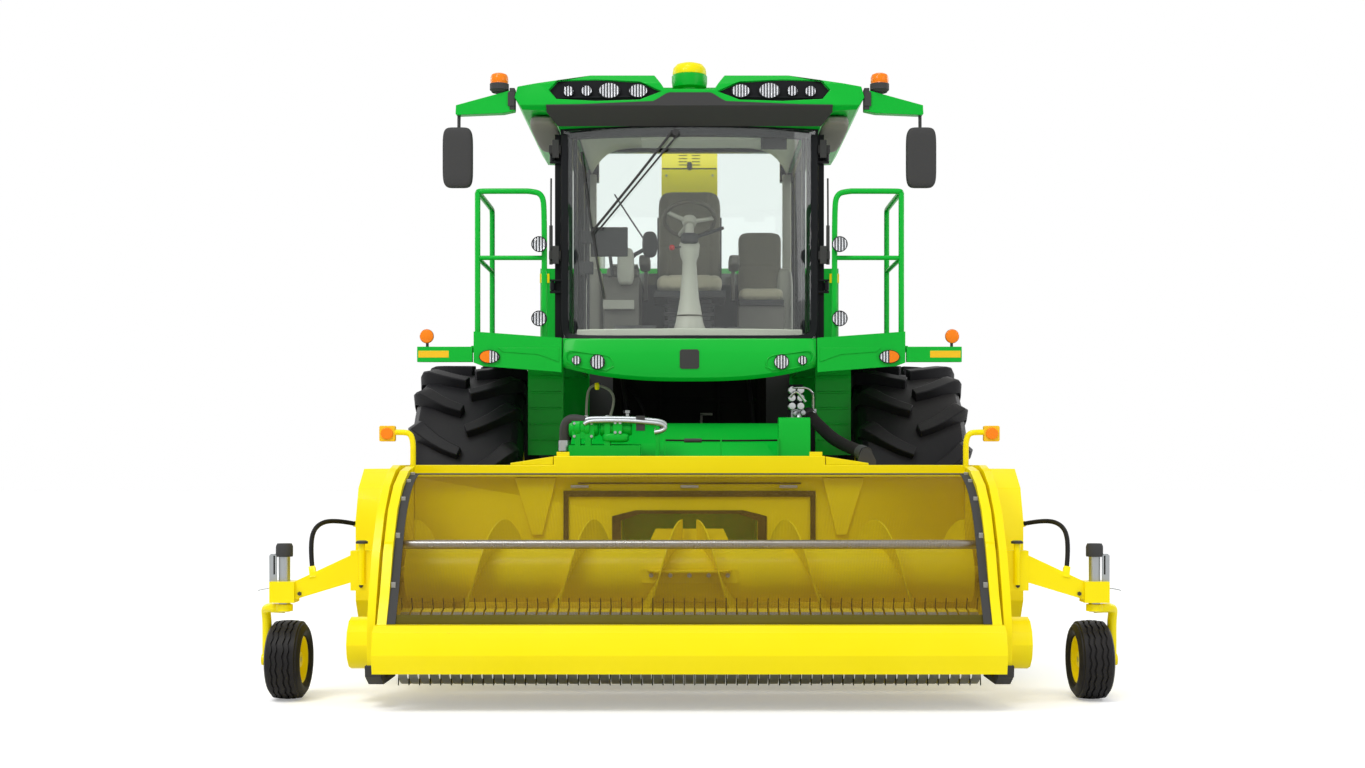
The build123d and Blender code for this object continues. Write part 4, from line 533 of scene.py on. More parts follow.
def lug_shape(radius, half, depth, curve, widths):
    """One tread lug: a tapered bar that follows a curve from the middle of the tread over the shoulder.

    The curve gives the distance across and the distance round the wheel; past the shoulder the bar drops."""
    along = np.linspace(0, 1, 12)
    across = 0.012 + (half + 0.006) * along
    drop = np.clip((across - half * 0.8) / (half * 0.2), 0, None) ** 2 * 0.075
    swing = np.interp(along, *np.array(curve).T)
    top_half = np.interp(along, (0, 0.5, 1), widths) / 2
    d_across, d_round = np.gradient(across), np.gradient(swing)
    size = np.hypot(d_across, d_round)
    lean_x, lean_v = -d_round / size, d_across / size
    corners = []
    for lift, spread, side in ((-depth - 0.03, 1.35, -1), (0, 1, -1), (0, 1, 1), (-depth - 0.03, 1.35, 1)):
        x = np.clip(across + side * spread * top_half * lean_x, 0.004, half + 0.014)
        v = swing + side * spread * top_half * lean_v
        r = radius - drop + lift
        corners.append(np.stack([x, -r * np.cos(v / radius), r * np.sin(v / radius)], -1))
    return grid(np.stack(corners, 1), wrap_v=True, cap=True)


def tyre_shapes(x, y, radius, width, rim_r, lug_h, lugs, curve, widths):
    """Carcass with bulging walls, bead and shoulder rings, and two staggered rows of lugs."""
    half, carcass = width / 2, radius - lug_h
    middle = (carcass + rim_r) / 2
    half_section = [(0, carcass), (half * 0.6, carcass - 0.004), (half * 0.88, carcass - 0.022),
                    (half * 0.985, carcass - 0.062), (half + 0.006, carcass - 0.12), (half + 0.016, middle + 0.03),
                    (half + 0.015, middle - 0.05), (half - 0.004, rim_r + 0.085), (half - 0.02, rim_r + 0.05),
                    (half - 0.02, rim_r + 0.036), (half - 0.04, rim_r + 0.02), (half - 0.058, rim_r + 0.004),
                    (half - 0.062, rim_r + 0.002)]
    section = half_section + [(-u, r) for u, r in reversed(half_section) if u]
    carcass_shape = turned(section, 120, (x, y, radius), "x", loop=True)
    lug = lug_shape(radius, half, lug_h, curve, widths)
    pitch = TAU / lugs
    rows = []
    for row, start in ((1, 0.0), (-1, 0.5)):
        one = (lug[0] * (row, 1, 1), lug[1])
        rows.append(moved(around(one, (np.arange(lugs) + start) * pitch), (x, y, radius)))
    return [carcass_shape] + rows


def rim_shapes(x, y, z, rim_r, width, out, holes):
    """A dished wheel: barrel with lips, dished disc, hub cap, and its ring of wheel nuts."""
    half = width / 2 - 0.06
    barrel = [(-half, rim_r + 0.012), (-half + 0.012, rim_r + 0.012), (-half + 0.02, rim_r - 0.004),
              (half - 0.02, rim_r - 0.004), (half - 0.012, rim_r + 0.012), (half, rim_r + 0.012), (half, rim_r - 0.014),
              (half - 0.03, rim_r - 0.022), (-half + 0.03, rim_r - 0.022), (-half, rim_r - 0.014)]
    face = -out * 0.2
    dish = [(face, 0.09), (face, 0.2), (face + out * 0.03, 0.235), (face + out * 0.05, rim_r * 0.8),
            (face + out * 0.02, rim_r - 0.03), (face + out * 0.035, rim_r - 0.02), (face + out * 0.066, rim_r * 0.8),
            (face + out * 0.045, 0.24), (face + out * 0.024, 0.21), (face + out * 0.024, 0.15),
            (face + out * 0.11, 0.14), (face + out * 0.125, 0.12), (face + out * 0.13, 0.0)]
    nut = turned([(0, 0.0), (0, 0.02), (0.024, 0.02), (0.026, 0.012), (0.04, 0.011), (0.041, 0.0)], 6, (0, 0, 0.185),
                 "x")
    nut = (nut[0] * (out, 1, 1) + (face + out * 0.024, 0, 0), nut[1])
    nuts = around(nut, np.arange(holes) * TAU / holes)
    return [(moved(turned(barrel, 96, (0, 0, 0), "x", loop=True), (x, y, z)), 0),
            (moved(turned(dish, 96, (0, 0, 0), "x"), (x, y, z)), 0), (moved(nuts, (x, y, z)), 1)]


def build_wheels():
    """The four drive and steered wheels and the two gauge wheels."""
    sizes = bpy.context.scene.harvester
    wheels = (
        # end, x, y, radius, width, rim_r, lug_h, lugs, curve, widths, nuts
        ("front", 1.39, -1.0, 0.92, 0.66, 0.44, 0.06, sizes.front_lugs,
         ((0, -0.12), (0.25, -0.082), (0.5, -0.028), (0.75, 0.045), (1, 0.14)), (0.058, 0.074, 0.1), 12),
        ("rear", 1.25, 2.25, 0.72, 0.52, 0.37, 0.05, sizes.rear_lugs,
         ((0, -0.1), (0.25, -0.068), (0.5, -0.022), (0.75, 0.038), (1, 0.115)), (0.05, 0.062, 0.086), 10),
    )
    for end, x, y, radius, width, rim_r, lug_h, lugs, curve, widths, nuts in wheels:
        for s, side in SIDES:
            body = f"{end}_{side}_wheel"
            piece(f"{end}_{side}_tread", tyre_shapes(s * x, y, radius, width, rim_r, lug_h, lugs, curve, widths),
                  "tread_rubber", body, (f"{end}_{side}_tyre",), bevel=0.006, soft=40)
            piece(f"{end}_{side}_wheel_disc", rim_shapes(s * x, y, radius, rim_r, width, s, nuts),
                  ("yellow_gloss", "dull_steel"), body, (f"{end}_{side}_rim",), soft=30)
    ribs = [(0.0, 0.2), (0.012, 0.2), (0.014, 0.19), (0.02, 0.19), (0.022, 0.199), (0.038, 0.198), (0.04, 0.188),
            (0.046, 0.188), (0.048, 0.196), (0.066, 0.194), (0.07, 0.184), (0.076, 0.182), (0.086, 0.168),
            (0.09, 0.155), (0.088, 0.14), (0.078, 0.124), (0.068, 0.1205)]
    section = ribs + [(-u, r) for u, r in reversed(ribs) if u]
    dish = [(-0.07, 0.119), (0.07, 0.119), (0.07, 0.108), (0.03, 0.104), (0.02, 0.06), (0.026, 0.045), (0.06, 0.04),
            (0.062, 0.016), (-0.062, 0.016), (-0.06, 0.04), (-0.026, 0.045), (-0.02, 0.06), (-0.03, 0.104),
            (-0.07, 0.108)]
    section = np.array(section)
    lap = np.arange(180) * TAU / 180
    zigzag = np.abs((np.arange(180) / 5.0) % 2 - 1) * 0.008 - 0.004
    shift = zigzag[None] * (np.abs(section[:, :1]) < 0.06)
    tread = np.stack([section[:, :1] + shift, section[:, 1:] * np.cos(lap), section[:, 1:] * np.sin(lap)], -1)
    for s, side in SIDES:
        centre = (s * 2.04, -3.465, 0.2)
        piece(f"gauge_{side}_tread", [moved(grid(tread, wrap_u=True, wrap_v=True), centre)], "tread_rubber",
              f"{side}_caster_wheel", (f"caster_{side}_tyre",))
        piece(f"gauge_{side}_disc", [turned(dish, 48, centre, "x", loop=True)], "yellow_gloss",
              f"{side}_caster_wheel", (f"caster_{side}_rim",))


# Frame, axles and plain structure that keeps its CAD form

def build_structure():
    """The nodes whose form is right: merged, edges rounded, and finished."""
    table = (
        # node, finish, bevel
        # The frame parts underneath take the darker green, which paints their shade.
        ("main_frame", "green_frame", 0.005), ("axles", "green_frame", 0.006), ("knuckle_left", "green_frame", 0.005),
        ("knuckle_right", "green_frame", 0.005), ("crop_channel", "green_frame", 0.006),
        ("engine_block", "cast_iron", 0.012), ("tanks", "black_plastic", 0.03),
             ("feeder_housing", "green_gloss", 0.006),
        ("lift_barrels", "green_frame", 0.002), ("lift_rods", "bright_steel", 0.001),
             ("cab_shell", "black_frame", 0.005),
        ("door_left", "black_frame", 0.005), ("door_right", "black_frame", 0.005), ("platforms", "green_gloss", 0.006),
        ("engine_body", "green_gloss", 0.012),
        ("side_panel_left", "green_gloss", 0.006), ("side_panel_right", "green_gloss", 0.006),
        ("spout_turret", "yellow_gloss", 0.006), ("spout_chute", "yellow_gloss", 0.003),
        ("spout_flap", "yellow_gloss", 0.002), ("header_frame", "yellow_gloss", 0.004),
        ("header_sides", "yellow_gloss", 0.005), ("wind_guard", "yellow_gloss", 0.004),
        ("gauge_arms", "yellow_gloss", 0.004), ("cab_roof", "green_gloss", 0.014),
    )
    for name, finish, bevel in table:
        dressed(name, finish, bevel)
    hood = bpy.data.objects["wind_guard_finished"].data
    points = np.zeros(len(hood.vertices) * 3, np.float32)
    hood.vertices.foreach_get("co", points)
    points = points.reshape(-1, 3)
    low = (points[:, 1] < NOSE_Y + 0.015) & (np.abs(points[:, 2] - 0.23) < 0.003)
    high = (points[:, 1] < NOSE_Y + 0.015) & (np.abs(points[:, 2] - 0.3045) < 0.003)
    points[low, 1] += 0.013
    points[high, 2] -= 0.026
    hood.vertices.foreach_set("co", points.ravel())
    hood.update()
    for name in ("cab_glass", "door_glass_left", "door_glass_right"):
        dressed(name, "pane", 0.001, 1)


def build_front():
    """The bowed panel under the windscreen, its lamp recesses and bare badge place, and the bulkhead below."""
    half, crease, top = 0.755, 1.855, 1.942
    x = np.linspace(-half, half, 61)
    low = 1.686 + 0.085 * (np.abs(x) / half) ** 2.6
    section = [(-2.036, low + 0.03), (-2.046, low + 0.002), (-2.056, low), (-2.064, low + 0.006), (-2.076, low + 0.022),
               (-2.0797, low + 0.05), (-2.0797, crease + 0 * x), (-2.0755, crease + 0.012 + 0 * x),
               (-2.066, top - 0.014 + 0 * x), (-2.06, top - 0.003 + 0 * x), (-2.05, top + 0 * x), (-2.036, top + 0 * x)]
    turn_in = 0.02 * (np.abs(x) / half) ** 14
    points = np.stack([np.stack([x, y + turn_in, z], -1) for y, z in section], 1)
    piece("front_panel", [grid(points, wrap_v=True, cap=True)], "green_gloss", "chassis", ("front_fascia",),
          soft=28)
    behind = CAB_FRONT - 0.0203 - SCREEN_BOW * (1 - (x / 0.774) ** 2)
    shelf = [(np.full(61, -2.05), 1.905), (np.full(61, -2.05), top), (behind, top), (behind, 1.905)]
    piece("front_shelf", [grid(np.stack([np.stack([x, y, np.full(61, z)], -1) for y, z in shelf], 1), wrap_v=True,
                               cap=True)], "green_gloss", "chassis", soft=28)
    recess = [(0.45, 1.772), (0.5, 1.748), (0.6, 1.757), (0.72, 1.79), (0.738, 1.83), (0.73, 1.862), (0.7, 1.868),
              (0.6, 1.852), (0.5, 1.842), (0.462, 1.822)]
    lip = spline(np.array(recess + recess[:2]), 5)
    rims = tube(np.column_stack([lip[:, 0], np.full(len(lip), -2.0805), lip[:, 1]]), 0.004, 8)
    piece("lamp_recess_rims", mirrored(rims), "green_gloss", "chassis")
    badge = np.array([(0.048, 0.058), (0.058, 0.048), (0.058, -0.048), (0.048, -0.058), (-0.048, -0.058),
                      (-0.058, -0.048), (-0.058, 0.048), (-0.048, 0.058)]) + (0, 1.817)
    piece("badge_place", [plate(badge, -2.0835, -2.0795, "y")], "black_plastic", "chassis", bevel=0.001)

    # The bulkhead wall and its ribs are near-black: painted shade of the space under the cab behind the front panel.
    wall = [block(-0.5, 0.5, -1.115, -1.101, 1.25, 1.86)]
    wall += [block(x, x + 0.02, -1.135, -1.1145, 1.27, 1.84) for x in (-0.46, -0.2, 0.18, 0.44)]
    wall += [block(-0.5, 0.5, -1.13, -1.1145, z, z + 0.02) for z in (1.36, 1.6)]
    piece("bulkhead", wall, "dark_cavity", "chassis", bevel=0.003)
    lines = [tube([(-0.44, -1.14, 1.28), (-0.43, -1.2, 1.36), (-0.4, -1.22, 1.5), (-0.42, -1.2, 1.66),
                   (-0.44, -1.14, 1.8)],
                  0.016, 10, 7),
             tube([(-0.34, -1.13, 1.3), (-0.3, -1.2, 1.36), (-0.28, -1.22, 1.5), (-0.33, -1.2, 1.62),
                   (-0.4, -1.13, 1.7)],
                  0.012, 10, 7),
             tube([(0.4, -1.13, 1.28), (0.42, -1.18, 1.4), (0.4, -1.18, 1.6), (0.38, -1.13, 1.78)], 0.014, 10, 7)]
    fitting = turned([(0.0, 0.0), (0.0, 0.02), (0.03, 0.02), (0.032, 0.028), (0.05, 0.028), (0.052, 0.0)], 6,
                     (-0.4, -1.22, 1.49), "z")
    shelf = block(0.06, 0.2, -1.18, -1.115, 1.4, 1.43)
    stalk = [block(0.07, 0.085, -1.165, -1.15, 1.43, 1.52), block(0.07, 0.15, -1.165, -1.15, 1.51, 1.525)]
    piece("bulkhead_lines", [(shape, 0) for shape in lines] + [(fitting, 1)] + [(shape,
                                                                                 2) for shape in [shelf] + stalk],
          ("hose_rubber", "bright_steel", "duct_grey"), "chassis")
    ribs = [block(0.81, 1.005, -1.468, -1.4595, z, z + 0.012) for z in (1.34, 1.44, 1.54, 1.64, 1.74)]
    piece("shield_ribs", mirrored(*ribs), "green_gloss", "chassis", bevel=0.003)
    slopes = [plate([(0.775, 1.885), (1.14, 1.885), (1.11, 1.86), (0.9, 1.845), (0.775, 1.8)], -2.079, -2.0745, "y"),
              block(0.762, 0.772, -2.07, -2.03, 1.755, 1.885)]
    piece("fender_faces", mirrored(*slopes), "green_gloss", "chassis", bevel=0.002)


def build_body():
    """Stripes, louvres, rear grille and lamps, exhaust, treads, mud flaps, handles and the spout's fittings."""
    half, front, slope_y, rear, top, tail = 1.15, 0.83, 2.33, 3.85, 2.7, 2.48
    line = np.array([(front + 0.004, top - 0.075), (slope_y, top - 0.075), (rear - 0.012, tail - 0.075)])
    band = np.vstack([line + (0, 0.035), line[::-1] - (0, 0.035)])
    stripe = plate(band, half + 0.0005, half + 0.004, "x")
    wrap = block(half - 0.07, half + 0.004, front - 0.004, front + 0.005, top - 0.11, top - 0.04)
    piece("side_stripes", mirrored(stripe, wrap), "yellow_gloss", "chassis")
    seams = [tube([(half + 0.0005, slope_y, top - 0.2), (half + 0.0005, slope_y, 2.38)], 0.004, 6)]
    seams.append(plate([(3.25, 1.62), (3.262, 1.62), (3.262, 2.4), (3.25, 2.4)], half - 0.001, half + 0.0015, "x"))
    louvre = plate([(0.0, 0.0), (0.016, -0.012), (0.016, -0.02), (0.0, -0.012)], 3.34, 3.76, "y")
    louvre = (louvre[0] + (half, 0, 0), louvre[1])
    slats = copies(louvre, [(0, 0, z) for z in np.arange(1.72, 2.33, 0.05)])
    # The plate behind the louvres is near-black: painted shade inside the vents.
    vent_back = block(half - 0.0005, half + 0.0015, 3.32, 3.78, 1.68, 2.36)
    piece("rear_vents", [(shape, 0) for shape in mirrored(vent_back)] + [(shape, 1) for shape in mirrored(slats)]
          + [(shape, 0) for shape in mirrored(*seams)], ("dark_cavity", "green_gloss"), "chassis")
    for s, side in SIDES:
        out = 1.178
        # The slots are thin near-black strips: painted shade where the openings are; the grooves are dark lines in the
        # same near-black.
        slot_shape = block(0, 0.0016, -0.09, 0.09, -0.006, 0.006)
        rows = copies(slot_shape, [(0, y, z) for y in (1.35, 1.6, 1.85) for z in np.arange(1.98, 2.24, 0.035)])
        rows = (rows[0] * (s, 1, 1) + (s * (out - 0.0012), 0, 0), rows[1])
        groove = [block(s * (out - 0.001), s * (out + 0.0005), 1.03, 3.17, z, z + 0.006) for z in (1.8, 1.9)]
        latches = [turned([(0, 0.0), (0, 0.026), (0.003 * s, 0.026), (0.004 * s, 0.02), (0.0012 * s, 0.018),
                           (0.0012 * s, 0.0)],
                          24, (s * (out - 0.001), y, 1.69), "x") for y in (1.15, 2.1, 3.05)]
        piece(f"panel_{side}_details", [(rows, 0)] + [(shape, 0) for shape in groove] + [(shape,
                                                                                          1) for shape in latches],
              ("dark_cavity", "black_plastic"), f"{side}_panel")
        handle = [tube([(s * 0.833, -0.72, 2.22), (s * 0.857, -0.72, 2.23), (s * 0.86, -0.72, 2.32),
                        (s * 0.857, -0.72, 2.41),
                        (s * 0.833, -0.72, 2.42)], 0.011, 10, 5), block(s * 0.8315, s * 0.838, -0.745, -0.695, 2.2,
                                                                        2.44)]
        piece(f"door_{side}_handle", handle, "black_plastic", f"{side}_door", bevel=0.001)

    # The core behind the wire screen is near-black: painted shade of the radiator's depth.
    core = block(-0.88, 0.88, 3.72, 3.74, 1.64, 2.4)
    wires = [block(x - 0.0015, x + 0.0015, 3.75, 3.7595, 1.66, 2.38) for x in np.linspace(-0.84, 0.84, 43)]
    wires += [block(-0.84, 0.84, 3.748, 3.7595, z - 0.0015, z + 0.0015) for z in np.linspace(1.68, 2.36, 18)]
    piece("radiator_screen", [(core, 0)] + [(shape, 1) for shape in wires], ("dark_cavity", "dull_steel"), "chassis")
    lamp = [block(0.95, 1.11, 3.8502, 3.868, 2.035, 2.125)]
    red, amber = block(0.956, 1.046, 3.867, 3.889, 2.041, 2.119), block(1.05, 1.104, 3.867, 3.889, 2.041, 2.119)
    rear_bolts = copies(turned([(0, 0.0), (0, 0.016), (0.012, 0.014), (0.012, 0.0)], 6, (0, 3.8502, 0), "y"),
                         [(x, 0, z) for x in (-1.05, -0.35, 0.35, 1.05) for z in (1.56, 2.42)])
    piece("tail_lamps", [(shape, 0) for shape in mirrored(*lamp)] + [(shape, 1) for shape in mirrored(red)]
          + [(shape, 2) for shape in mirrored(amber)] + [(rear_bolts, 0)], ("black_plastic", "red_lens", "warm_orange"),
          "chassis", bevel=0.004)
    pipe = turned([(2.7, 0.0855), (2.7, 0.1), (2.712, 0.1), (2.716, 0.088), (2.955, 0.088), (2.962, 0.086),
                   (2.962, 0.074),
                   (2.9, 0.07), (2.88, 0.0), (2.7, 0.0)], 40, (-0.76, 1.25, 0), "z")
    cap = turned([(2.7, 0.0), (2.7, 0.05), (2.735, 0.05), (2.74, 0.045), (2.74, 0.0)], 32, (0.8, 1.4, 0), "z")
    piece("exhaust_sleeve", [(pipe, 0), (cap, 1)], ("dull_steel", "black_plastic"), "chassis")
    ribs = [plate([(-1.02, 0), (1.02, 0), (1.02, 0.012), (-1.02, 0.012)], 1.7 + k * 0.045, 1.715 + k * 0.045, "y")
            for k in range(10)]
    intake = [(points + (0, 0, 2.7), faces) for points, faces in ribs]
    intake.append(block(-1.04, 1.04, 1.67, 2.15, 2.6995, 2.7035))
    piece("intake_slats", [(shape, 0) for shape in intake], "green_gloss", "chassis", bevel=0.002)

    treads = []
    for z in (0.5, 0.78, 1.06, 1.34, 1.62):
        treads.append(block(1.3, 1.47, 0.04, 0.49, z + 0.0302, z + 0.034))
        treads.append(copies(block(-0.06, 0.06, -0.004, 0.004, z + 0.034, z + 0.039),
                             [(1.385, y, 0) for y in np.arange(0.07, 0.47, 0.032)]))
    deck = [block(0.9, 1.25, -1.95, 0.45, DECK_TOP + 0.0003, DECK_TOP + 0.0045)]
    studs = copies(block(-0.15, 0.15, -0.004, 0.004, DECK_TOP + 0.004, DECK_TOP + 0.008),
                   [(1.075, y, 0) for y in np.arange(-1.9, 0.42, 0.045)])
    piece("step_treads", treads + mirrored(*deck) + mirrored(studs), "dull_steel", "chassis")
    tank_straps = [block(1.2405, 1.2445, y, y + 0.05, 0.72, 1.46) for y in (0.3, 0.95)]
    piece("tank_straps", mirrored(*tank_straps), "dull_steel", "chassis", bevel=0.001)

    bend = np.array([(3.2, 0.2745), (3.36, 0.275), (3.48, 0.315), (3.59, 0.4), (3.68, 0.53)])
    # The slits are near-black bars: painted shade of the openings in the chute; the seam is a dark joint in the same
    # colour.
    slits = []
    for z in (3.4, 3.425, 3.45, 3.475, 3.5, 3.56, 3.585, 3.61, 3.635):
        at = np.interp(z, bend[:, 0], bend[:, 1])
        slits += [tube([(x - 0.03, at - 0.0005, z), (x + 0.03, at - 0.0005, z)], 0.0032, 6) for x in (-0.048, 0.048)]
    seam = tube([(-0.2, 0.277, 3.37), (0.2, 0.277, 3.37)], 0.005, 8)
    catch = [pillow((-0.018, 0.262, 3.36), (0.018, 0.282, 3.42), 0.5, 10)]
    for s in (-1, 1):
        catch.append(tube([(s * 0.205, 0.44, 3.64), (s * 0.232, 0.43, 3.635), (s * 0.236, 0.41, 3.6),
                           (s * 0.23, 0.39, 3.565),
                           (s * 0.205, 0.385, 3.56)], 0.008, 8, 5))
    bolt_heads = copies(turned([(0, 0.0), (0, 0.009), (-0.006, 0.008), (-0.006, 0.0)], 6, (0, 0.2752, 0), "y"),
                        [(x, 0, z) for x in (-0.17, 0.17) for z in (3.16, 3.32)])
    piece("spout_slits", [(shape, 0) for shape in slits + [seam]] + [(shape, 1) for shape in catch] + [(bolt_heads, 2)],
          ("dark_cavity", "black_plastic", "zinc"), frame["nodes"]["spout_chute"]["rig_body"])
    piece("turret_collar", [turned([(2.32, 0.29), (2.32, 0.302), (2.35, 0.302), (2.35, 0.29)], 64, (0, 0.53, 0), "z",
                                   loop=True)], "dull_steel", "chassis")


# Header

def curtain_line():
    """The side view of the screen that hangs from the guard's hinge to the hood."""
    points = [(-0.06, -0.012), (-0.145, -0.022), (-0.325, -0.092), (-0.47, -0.207), (-0.595, -0.4), (-0.685, -0.6)]
    return np.array([(HINGE_Y + y, HINGE_Z + z) for y, z in points] + [(NOSE_Y + 0.14, HOOD_TOP + 0.001)])


def build_header():
    """The auger, the reel with its tines, the screen, its bands and clamps, the roller and the lamps."""
    turns, steps = 3, 40
    shapes = [turned([(-1.42, 0.0), (-1.42, 0.045), (-1.49, 0.046), (-1.49, 0.149), (1.49, 0.149), (1.49, 0.046),
                      (1.42, 0.045), (1.42, 0.0)], 48, (0, AUGER_Y, AUGER_Z), "x")]
    turn = np.linspace(0, turns * TAU, turns * steps + 1)
    for hand in (-1, 1):
        at = hand * (1.46 - 1.42 * turn / turn[-1])
        section = ((-0.004, 0.146), (0.004, 0.146), (0.004, 0.29), (-0.004, 0.29))
        corners = [np.stack([at + dx, AUGER_Y + r * np.sin(turn), AUGER_Z + r * np.cos(turn)], -1) for dx, r in section]
        shapes.append(grid(np.stack(corners, 1), wrap_v=True, cap=True))
    finger = block(-0.25, 0.25, AUGER_Y - 0.158, AUGER_Y - 0.147, AUGER_Z - 0.036, AUGER_Z + 0.036)
    blade = plate([(-0.22, -0.156), (0.22, -0.156), (0.18, -0.24), (-0.18, -0.24)], -0.031, -0.025, "y")
    bolts = copies(turned([(0, 0.0), (0, 0.013), (-0.009, 0.012), (-0.009, 0.0)], 6, (0, AUGER_Y - 0.157, AUGER_Z),
                          "y"),
                   [(x, 0, 0.004) for x in (-0.2, -0.1, 0.0, 0.1, 0.2)])
    quarter = np.arange(4) * TAU / 4
    middle = (0, AUGER_Y, AUGER_Z)
    shapes += [around(finger, quarter, middle), around(moved(blade, middle), quarter, middle)]
    shapes.append((around(bolts, quarter, middle), 1))
    piece("auger_flights", shapes, ("yellow_gloss", "zinc"), "auger_drum", ("auger",))

    count, rows = 56, 5
    tine = tube([(0, 0, 0.085), (0, 0.004, 0.14), (0, -0.012, 0.19), (0, -0.03, 0.2255)], 0.0032, 5, smooth=3)
    places = np.column_stack([np.linspace(-1.44, 1.44, count), np.zeros(count), np.zeros(count)])
    row = copies(tine, places)
    bar = plate([(-0.012, 0.078), (0.012, 0.078), (0.012, 0.1), (-0.012, 0.1)], -1.466, 1.466, "x")
    turn = math.radians(18 - 90) + np.arange(rows) * TAU / rows
    drum = turned([(-1.4, 0.0), (-1.4, 0.03), (-1.468, 0.031), (-1.468, 0.079), (1.468, 0.079), (1.468, 0.031),
                   (1.4, 0.03), (1.4, 0.0)], 24, (0, 0, 0), "x")
    shapes = [(moved(drum, (0, REEL_Y, REEL_Z)), 1), (moved(around(bar, turn), (0, REEL_Y, REEL_Z)), 1),
              (moved(around(row, turn), (0, REEL_Y, REEL_Z)), 0)]
    piece("reel_tines", shapes, ("black_frame", "yellow_worn"), "reel_drum", ("pickup_reel",))
    pitch = 2.88 / (count - 1)
    half = pitch / 2 - 0.005
    for name, start, end, steps, finish in (("stripper_plate", 35, 112, 9, "yellow_worn"),
                                            ("stripper_bands", 112, 290, 16, "zinc")):
        lean = np.radians(np.linspace(start, end, steps))
        radius = 0.17 + 0.034 * np.clip((lean - math.radians(140)) / math.radians(90), 0, 1)
        loop = np.column_stack([np.zeros(steps), REEL_Y + radius * np.cos(lean), REEL_Z + radius * np.sin(lean)])
        strip = carried(loop, [(-half, -0.0015), (half, -0.0015), (half, 0.0015), (-half, 0.0015)])
        piece(name, [copies(strip, places[:-1] + (pitch / 2, 0, 0))], finish, "header")

    rim = [(-0.43, 0.46), (-0.43, 0.905), (-0.3, 0.938), (0.3, 0.938), (0.43, 0.905), (0.43, 0.46)]
    inner = [(0.38, 0.46), (0.38, 0.88), (0.27, 0.918), (-0.27, 0.918), (-0.38, 0.88), (-0.38, 0.46)]
    seals = [plate(rim + inner, -2.7065, -2.7, "y")]
    seals += [block(-0.7, 0.7, -2.712, -2.7, 1.012, 1.046), block(-0.7, -0.672, -2.712, -2.7, 0.6, 1.013),
              block(0.672, 0.7, -2.712, -2.7, 0.6, 1.013), block(-0.62, 0.62, -2.706, -2.7, 1.083, 1.092)]
    piece("mouth_seals", seals, "dark_cavity", "header")
    gussets = mirrored(plate([(0.74, 1.118), (0.97, 1.118), (0.875, 0.8), (0.815, 0.8)], -2.716, -2.7, "y"),
                       plate([(0.755, 1.189), (0.755, 1.236), (0.99, 1.2), (0.99, 1.189)], -2.758, -2.7, "y"),
                       block(0.665, 0.735, -2.752, -2.72, 1.2385, 1.262))
    gussets.append(plate([(-1.525, 0.3), (1.525, 0.3), (1.525, 0.33), (-1.525, 0.33)], -2.712, -2.7, "y"))
    piece("header_gussets", gussets, "yellow_gloss", "header", bevel=0.003)
    latches = [block(x - 0.05, x + 0.05, -2.718, -2.7, 1.06, 1.078) for x in (-0.61, 0.0, 0.55)]
    piece("mouth_latches", latches, "zinc", "header", bevel=0.003)
    skid = plate([(-3.86, 0.215), (-3.85, 0.16), (-3.76, 0.1125), (-3.45, 0.1125), (-3.45, 0.14), (-3.72, 0.142),
                  (-3.81, 0.215)], 1.5, 1.578, "x")
    piece("skid_shoes", mirrored(skid), "black_plastic", "header", bevel=0.003)

    line = spline(curtain_line(), 6)
    columns = np.linspace(-ARM_IN + 0.0004, ARM_IN - 0.0004, 61)
    rows_n = len(line)
    lengths = np.concatenate([[0], np.cumsum(np.hypot(*np.diff(line, axis=0).T))])
    sheet = np.stack([np.repeat(columns[None], rows_n, 0), np.repeat(line[:, :1], 61, 1) + 0.004,
                      np.repeat(line[:, 1:], 61, 1)], -1)
    uv = np.stack([sheet[..., 0].ravel(), np.repeat(lengths, 61)], -1)
    screen = piece("guard_screen", [grid(sheet)], "screen_mesh", "guard", ("guard_curtain",),
                   open_sheet=True, uv=uv)
    solid = screen.modifiers.new("thickness", "SOLIDIFY")
    solid.thickness, solid.offset = 0.002, 0

    path = np.column_stack([np.full(len(line), 1.448), line[:, 0] - 0.004, line[:, 1]])
    band = carried(path, [(-0.021, -0.002), (0.021, -0.002), (0.021, 0.002), (-0.021, 0.002)])
    low = np.linspace(lengths[-1] - 0.052, lengths[-1], 4)
    low_y, low_z = np.interp(low, lengths, line[:, 0]) + 0.0005, np.interp(low, lengths, line[:, 1])
    hem_low = grid(np.array([[(hem_x, at_y, at_z) for hem_x in (-1.468, 1.468)] for at_y, at_z in zip(low_y, low_z)]))
    clamps = []
    for share in (0.04, 0.16, 0.33, 0.55, 0.8):
        at = np.array([np.interp(share * lengths[-1], lengths, line[:, k]) for k in (0, 1)])
        clamps.append(block(1.444, 1.468, at[0] - 0.014, at[0] - 0.004, at[1] - 0.014, at[1] + 0.014))
    piece("screen_bands", mirrored(band), "black_plastic", "guard")
    hem = piece("screen_hem", [hem_low], "hem_cloth", "guard", open_sheet=True)
    fold = hem.modifiers.new("thickness", "SOLIDIFY")
    fold.thickness, fold.offset = 0.002, 0
    high = np.linspace(0.004, 0.042, 4)
    high_y, high_z = np.interp(high, lengths, line[:, 0]) + 0.0005, np.interp(high, lengths, line[:, 1]) + 0.002
    strip = grid(np.array([[(strip_x, at_y, at_z) for strip_x in (-1.468, 1.468)] for at_y,
                           at_z in zip(high_y, high_z)]))
    strip = piece("screen_top_strip", [strip], "black_plastic", "guard", open_sheet=True)
    fold = strip.modifiers.new("thickness", "SOLIDIFY")
    fold.thickness, fold.offset = 0.002, 0
    piece("screen_clamps", mirrored(*clamps), "dull_steel", "guard", bevel=0.002)
